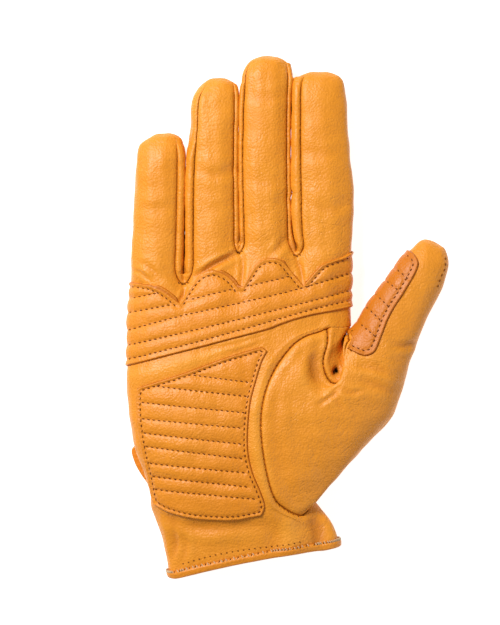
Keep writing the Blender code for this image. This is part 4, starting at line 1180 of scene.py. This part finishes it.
PAD_EDGE = np.array((
    # up the thumb, sideways as shares of THUMB_LENGTH, along the outer edge
    (0.141, -0.140), (0.150, -0.100), (0.180, -0.067), (0.219, -0.055), (0.306, -0.056), (0.415, -0.060),
    (0.506, -0.052), (0.631, -0.031), (0.747, -0.017), (0.818, -0.020), (0.859, -0.052), (0.880, -0.100),
    (0.884, -0.140),
))
PAD_LINES = (
    # cross rows: from up, sideways, to up, sideways
    (0.760, -0.200, 0.704, -0.039), (0.665, -0.230, 0.613, -0.072), (0.565, -0.260, 0.493, -0.083),
    (0.468, -0.285, 0.394, -0.096), (0.356, -0.300, 0.286, -0.088),
)
PAD_EDGE_STITCH = 0.0026
PAD_INNER = -0.226
PAD_WRAP = np.array((
    # up the thumb, and the share of the way that the pad's inner side goes from PAD_INNER to PAD_PAST_SIDE
    (0.22, 0.0), (0.25, 0.7), (0.31, 1.0), (0.90, 1.0),
))
# The inner side ends at this angle, a little past half a turn, and is measured no further sideways than the next
PAD_PAST_SIDE = 1.07 * np.pi
PAD_MEASURED = -0.235
# Up the thumb, and the least height in metres from which the pad's rows by the notch are laid down
PAD_FROM_ABOVE = ((0.22, 0.0245), (0.26, 0.0))
PAD_COLUMNS = 70
PAD_STEPS = 110


def on_thumb(up, sideways):
    """Place in the plan from shares up and beside the thumb's axis."""
    return base + THUMB_LENGTH * (np.multiply.outer(up, thumb_up) + np.multiply.outer(sideways, thumb_side))


def thumb_pad():
    """The pad's grid: rows across the thumb from below its inner side over the top to the pad's outer edge,
    at even angles of the thumb's own section, measured from the shell."""
    own = skin[np.unique(skin_faces[skin_panel == THUMB])]
    own_up = (own[:, :2] - base) @ thumb_up / THUMB_LENGTH
    own_side = (own[:, :2] - base) @ thumb_side / THUMB_LENGTH
    edges = np.linspace(0.05, 1.0, 24)
    bins = [np.abs(own_up - u) < 0.03 for u in edges]
    inner = np.maximum(np.array([own_side[b].min() for b in bins]), PAD_MEASURED)
    outer = np.array([own_side[b].max() for b in bins])
    high, low = (np.array([pick(own[b, 2]) for b in bins]) for pick in (np.max, np.min))
    outline = way_along(PAD_EDGE, 160)
    share = np.linspace(0.0, 1.0, PAD_STEPS)
    up = outline[0, 0] + share * (outline[-1, 0] - outline[0, 0])
    rising = outline[np.argsort(outline[:, 0])]
    corner = np.interp(up, rising[:, 0], rising[:, 1])
    centre, half = (np.interp(up, edges, (outer + inner) / 2.0), np.interp(up, edges, (outer - inner) / 2.0))
    ratio = np.clip((corner - centre) / half, -0.98, 0.98)
    end = np.arccos(np.sign(ratio) * np.abs(ratio) ** (THUMB_POWER / 2.0))
    at_seam = np.arccos(-np.clip((centre - PAD_INNER) / half, 0.0, 0.99) ** (THUMB_POWER / 2.0))
    inner_end = at_seam + (PAD_PAST_SIDE - at_seam) * np.interp(up, PAD_WRAP[:, 0], PAD_WRAP[:, 1])
    angle = inner_end[:, None] + np.linspace(0.0, 1.0, PAD_COLUMNS) * (end - inner_end)[:, None]
    power = 2.0 / THUMB_POWER
    side = centre[:, None] + half[:, None] * np.sign(np.cos(angle)) * np.abs(np.cos(angle)) ** power
    z_mid, z_half = np.interp(up, edges, (high + low) / 2.0), np.interp(up, edges, (high - low) / 2.0)
    z = z_mid[:, None] + z_half[:, None] * np.sign(np.sin(angle)) * np.abs(np.sin(angle)) ** power
    z = np.maximum(z, np.interp(up, *zip(*PAD_FROM_ABOVE))[:, None])
    near_base = np.clip((0.35 - up[:, None]) / 0.2, 0.0, 1.0)
    fallen = up[:, None] + 0.19 * np.clip(-0.14 - side, 0.0, None) * near_base
    flat = base + THUMB_LENGTH * (fallen[..., None] * thumb_up + side[..., None] * thumb_side)
    mine = skin_faces[skin_panel == THUMB]
    used, corners = np.unique(mine, return_inverse=True)
    thumb_form = new_object("thumb_form", skin[used], corners.reshape(-1, 4))
    spots = laid_on(np.dstack([flat, z]).reshape(-1, 3), thumb_form)
    bpy.data.objects.remove(thumb_form)
    faces = grid_faces(PAD_STEPS, PAD_COLUMNS)
    places = spots[:, :2]
    rim = on_thumb(outline[:, 0], outline[:, 1])
    start, finish = (np.array([on_thumb(u, -0.45), on_thumb(u, -0.14)])
                     for u in (outline[0, 0], outline[-1, 0]))
    outer_rim = np.concatenate([start, rim, finish[::-1]])
    edge = away_from(places, outer_rim)[0]
    edge_stitch = offset_line(outer_rim[::-1], PAD_EDGE_STITCH, outer_rim)
    lines = [np.linspace(on_thumb(u0, s0), on_thumb(u1, s1), 12) for u0, s0, u1, s1 in PAD_LINES]
    stitch, run = nearest_of(places, [edge_stitch] + lines)
    heights = quilting(edge, stitch, run, PAD_EDGE_STITCH, 0.0008, 0.00008, 0.00025)
    pad = patch_object("pad_of_the_thumb", "thumb_pad", spots, faces, heights,
                       edge * EDGE_SHADE_MARK, stitch, thumb_leather)
    thread_piece("thread_of_the_thumb", [stitches([edge_stitch] + lines, pad)], brown_thread)


thumb_leather = leather("thumb_leather", (0.60, 0.172, 0.006), (0.30, 0.062, 0.004), (0.70, 0.225, 0.014))
thumb_pad()


# Cuff binding. A narrow strip of the same leather is folded over the raw edge of the cuff and sewn through
# with a pale zigzag that straddles its upper edge, and a row of small dark stitches runs a little above it.

BINDING_WIDTH = 0.0030
BINDING_COVER = 0.0011
BINDING_STEPS = 420
ZIGZAG_PITCH = 0.00075
CUFF_DOTS = ((0.247, 0.050), (0.313, 0.065), (0.408, 0.083), (0.542, 0.099), (0.683, 0.111), (0.780, 0.123))


def hem_loop():
    """The shell's open edge in order round the wrist, at even steps, with the direction outwards at each
    point."""
    edges = np.sort(np.concatenate([skin_faces[:, [i, (i + 1) % 4]] for i in range(4)]), axis=1)
    edges, times = np.unique(edges, axis=0, return_counts=True)
    rim = np.unique(edges[times == 1])
    middle = (skin[rim].min(axis=0) + skin[rim].max(axis=0)) / 2.0
    half = np.ptp(skin[rim], axis=0) / 2.0
    rim = rim[np.argsort(np.arctan2((skin[rim, 2] - middle[2]) / half[2],
                                    (skin[rim, 0] - middle[0]) / half[0]))]
    rim = np.append(rim, rim[0])
    both = even_steps(np.hstack([skin[rim], facing[rim] * 1e-6]), BINDING_STEPS + 1)[:-1]
    return both[:, :3], unit(both[:, 3:])


def turned_profile():
    """The binding's section in metres outwards and past the hem: two rolls joined round the hem, and the
    slot."""
    t = np.linspace(0.0, 1.0, 7)
    crown = 0.35 + 0.65 * np.sin(np.pi * np.minimum(t, 0.5)) + 0.2 * np.sin(np.pi * t) ** 2
    roll = np.stack([BINDING_COVER * crown, -BINDING_WIDTH * (1.0 - t)], axis=1)
    turn = np.linspace(0.0, np.pi, 9)[1:-1]
    reach = BINDING_COVER + LEATHER / 2.0
    end = np.stack([reach * np.cos(turn) - LEATHER / 2.0, BINDING_COVER * np.sin(turn)], axis=1)
    inner = np.stack([-LEATHER - roll[::-1, 0], roll[::-1, 1]], axis=1)
    slot = np.array([[-LEATHER - 0.0002, -BINDING_WIDTH], [-LEATHER - 0.0002, 0.0002], [0.0002, 0.0002],
                     [0.0002, -BINDING_WIDTH]])
    return np.concatenate([roll, end, inner, slot])


def cuff_binding():
    """The turned profile carried round the hem, with the zigzag over its upper edge."""
    hem, out = hem_loop()
    past = np.array([0.14, -1.0, 0.0]) / np.hypot(0.14, 1.0)
    past = unit(past - (out @ past)[:, None] * out)
    profile = turned_profile()
    spots = hem[:, None] + profile[None, :, :1] * out[:, None] + profile[None, :, 1:] * past[:, None]
    n, m = spots.shape[:2]
    i, j = np.arange(n)[:, None], np.arange(m)
    faces = np.stack([i * m + j, i * m + (j + 1) % m, (i + 1) % n * m + (j + 1) % m, (i + 1) % n * m + j],
                     axis=-1)
    spots[..., 2] = np.maximum(spots[..., 2], 0.0)
    piece = new_object("binding_of_the_cuff", spots.reshape(-1, 3), faces.reshape(-1, 4))
    # The seam mark is low where the binding's edges meet the shell, and paints shade there
    edge = np.minimum(np.abs(profile[:, 1] + BINDING_WIDTH), 0.002) * 900.0
    marks(piece, np.tile(edge, n), np.zeros(n * m))
    piece.data.materials.append(patch_leather)
    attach(piece, "root")
    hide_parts("cuff_binding")
    round_hem = np.linalg.norm(hem - np.roll(hem, 1, axis=0), axis=1).sum()
    count = int(round_hem / ZIGZAG_PITCH) // 2 * 2
    both = np.hstack([hem, out, past])
    both = even_steps(np.concatenate([both, both[:1]]), count + 1)[:-1]
    spot, out, past = both[:, :3], unit(both[:, 3:6]), unit(both[:, 6:])
    along = unit(np.roll(spot, -1, axis=0) - np.roll(spot, 1, axis=0))
    lean = np.where(np.arange(count) % 2, 1.0, -1.0)[:, None]
    way = unit(0.55 * along + lean * past)
    centre = spot - past * (BINDING_WIDTH - 0.0004) + out * 0.00100
    for name, first, thread, length, thick in (("zigzag_of_the_cuff", 0, pale_thread, 0.0018, 0.00026),
                                               ("zigzag_back_of_the_cuff", 1, brown_thread, 0.0014, 0.00015)):
        mine = slice(first, None, 2)
        zigzag = rods(centre[mine], way[mine], np.cross(out, way)[mine], out[mine], length, thick, 0.00015)
        thread_piece(name, [zigzag], thread)
    dots = stitches([plan_line(CUFF_DOTS, 80)], shell_form, pitch=0.0027, length=0.0009, thread=0.00026,
                    slant=0.0)
    thread_piece("dots_of_the_cuff", [dots], brown_thread)


cuff_binding()


# Wrist strap. A flat strap of two layers of leather crosses the back of the wrist under the glove; only its
# blunt end, pressed to a rim along the edge, shows past the little-finger side.

STRAP_END = ((0.05, 0.108), (0.20, 0.088), (0.35, 0.067), (0.55, 0.044), (0.75, 0.029), (0.88, 0.024),
             (0.96, 0.029), (1.02, 0.045))
STRAP_LENGTH = 0.058
STRAP_EDGE = (
    # rings from the lower to the upper face: inset and height in metres, and the seam mark, whose low values
    # paint shade on the leather at the lower edge and in the groove of the rim
    (0.0004, 0.0, 0.2), (0.0001, 0.00015, 0.5), (0.0, 0.0004, 4.0),
    (0.0, 0.0011, 4.0), (0.0002, 0.00145, 4.0), (0.0006, 0.0016, 4.0),
    (0.0014, 0.0016, 0.7), (0.0017, 0.00145, 0.3), (0.0020, 0.0016, 0.7),
)


def wrist_strap():
    """The strap's outline carried up its rounded edge, with flat faces below and above."""
    low, high = HAND_ROWS[STRAP_ROWS[0]][1], HAND_ROWS[STRAP_ROWS[1]][1]
    margin = 0.04 * (high - low)
    low, high = low + margin, high - margin
    end = way_along([plan(across, low + share * (high - low)) for share, across in STRAP_END], 60)
    far = end[0, 0] + STRAP_LENGTH
    outline = even_steps(np.concatenate([end, [(far, end[-1, 1]), (far, end[0, 1]), end[0]]]), 241)[:-1]
    way = unit(np.roll(outline, -1, axis=0) - np.roll(outline, 1, axis=0))
    inwards = np.stack([way[:, 1], -way[:, 0]], axis=1)
    rings_up = [np.column_stack([outline + inset * inwards, np.full(len(outline), height)])
                for inset, height, _ in STRAP_EDGE]
    n, m = len(outline), len(STRAP_EDGE)
    i, j = np.arange(m - 1)[:, None], np.arange(n)
    faces = np.stack([i * n + j, i * n + n + j, i * n + n + (j + 1) % n, i * n + (j + 1) % n], axis=-1)
    faces = faces.reshape(-1, 4).tolist() + [list(range(n)), list(range(m * n - 1, (m - 1) * n - 1, -1))]
    piece = new_object("strap_of_the_wrist", np.concatenate(rings_up), faces)
    marks(piece, np.repeat([mark for _, _, mark in STRAP_EDGE], n), np.zeros(n * m))
    piece.data.materials.append(patch_leather)
    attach(piece, "root")
    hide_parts("wrist_strap")


wrist_strap()


# Seam stitches. Where a seam is under strain its lockstitch shows: a few stitches across the pinched end of
# each crotch, along the thumb's arc and the notch, and on the outer side of the thumb's tip.

CROTCH_ENDS = (
    ((0.232, 0.915), (0.245, 0.909), (0.260, 0.907), (0.275, 0.909), (0.285, 0.915)),
    ((0.485, 1.012), (0.494, 1.007), (0.503, 1.005), (0.513, 1.007), (0.521, 1.012)),
    ((0.736, 1.000), (0.746, 0.995), (0.757, 0.993), (0.768, 0.995), (0.778, 1.000)),
)
TIP_STITCHES = ((0.940, 0.120), (0.867, 0.145), (0.804, 0.144), (0.724, 0.151))


def seam_line(kind, centre, first, last):
    """The upper points of a seam in the plan, in turn round a centre from the first to the last angle in
    degrees."""
    spots = skin[np.unique(seam_edges[kind])]
    spots = spots[spots[:, 2] > 0.55 * PALM_HEIGHT, :2] - centre
    turned = (np.degrees(np.arctan2(spots[:, 1], spots[:, 0])) - first) % 360.0
    spots, turned = spots[turned < last - first], turned[turned < last - first]
    return even_steps(spots[np.argsort(turned)] + centre, 160)


def seam_stitches():
    """Short stitches along the seam lines of the palm and thumb."""
    ends = stitches([plan_line(knots, 30) for knots in CROTCH_ENDS], shell_form, pitch=0.0016, length=0.0014,
                    thread=0.00028, slant=-35.0)
    arc = seam_line(is_arc, plan(0.80, 0.48), 70.0, 275.0)
    arc = stitches([offset_line(arc, 0.0005, arc)], shell_form, pitch=0.0026, length=0.0010, thread=0.00018,
                   slant=-25.0, proud=0.00006)
    notch = seam_line(is_gusset, plan(0.925, 0.675), 95.0, 275.0)
    notch = stitches([offset_line(notch, 0.0004, notch)], shell_form, pitch=0.0024, length=0.0010,
                     thread=0.00020,
                     slant=-25.0, proud=0.00008)
    tip = way_along([on_thumb(up, sideways) for up, sideways in TIP_STITCHES], 60)
    tip = stitches([tip], shell_form, pitch=0.0026, length=0.0014, thread=0.00032, slant=8.0)
    thread_piece("thread_of_the_seams", [ends, arc, notch, tip], brown_thread)


seam_stitches()
bpy.data.objects.remove(shell_form)


# Floor, lights and camera. A plain white floor that glows a little, a soft key light from the upper left
# with a weak one opposite, and a camera that looks straight down on the palm.

CAMERA_HEIGHT = 0.993
LENS = 120.0


def floor():
    """A flat square of plain white matt floor, twelve metres wide."""
    side = 6.0
    piece = new_object("floor",
                       [(-side, -side, 0.0), (side, -side, 0.0), (side, side, 0.0), (-side, side, 0.0)],
                       [[0, 1, 2, 3]])
    material, _, shader = new_material("white_floor")
    shader.inputs["Base Color"].default_value = (0.60, 0.60, 0.60, 1.0)
    shader.inputs["Roughness"].default_value = 0.9
    shader.inputs["Specular IOR Level"].default_value = 0.1
    shader.inputs["Emission Color"].default_value = (1.0, 1.0, 1.0, 1.0)
    shader.inputs["Emission Strength"].default_value = 0.85
    piece.data.materials.append(material)


def soft_light(name, place, towards, size, power):
    """A square area light that faces a point."""
    lamp = bpy.data.lights.new(name, "AREA")
    lamp.size = size
    lamp.energy = power
    piece = bpy.data.objects.new(name, lamp)
    piece.location = place
    piece.rotation_euler = (Vector(towards) - Vector(place)).to_track_quat("-Z", "Y").to_euler()
    bpy.context.scene.collection.objects.link(piece)


floor()
soft_light("key_light", (-0.62, 0.66, 1.0), (0.0, 0.0, 0.0), 0.40, 21.0)
soft_light("fill_light", (0.9, -0.5, 0.9), (0.0, 0.0, 0.0), 0.9, 3.5)
world = bpy.data.worlds.new("studio")
bpy.context.scene.world = world
world.use_nodes = True
world.node_tree.nodes["Background"].inputs["Color"].default_value = (1.0, 1.0, 1.0, 1.0)
world.node_tree.nodes["Background"].inputs["Strength"].default_value = 0.20

bpy.context.scene.view_settings.view_transform = "Standard"

view = bpy.data.cameras.new("camera")
view.lens = LENS
camera = bpy.data.objects.new("camera", view)
camera.location = (-0.0169, 0.00235, CAMERA_HEIGHT)
bpy.context.scene.collection.objects.link(camera)
bpy.context.scene.camera = camera
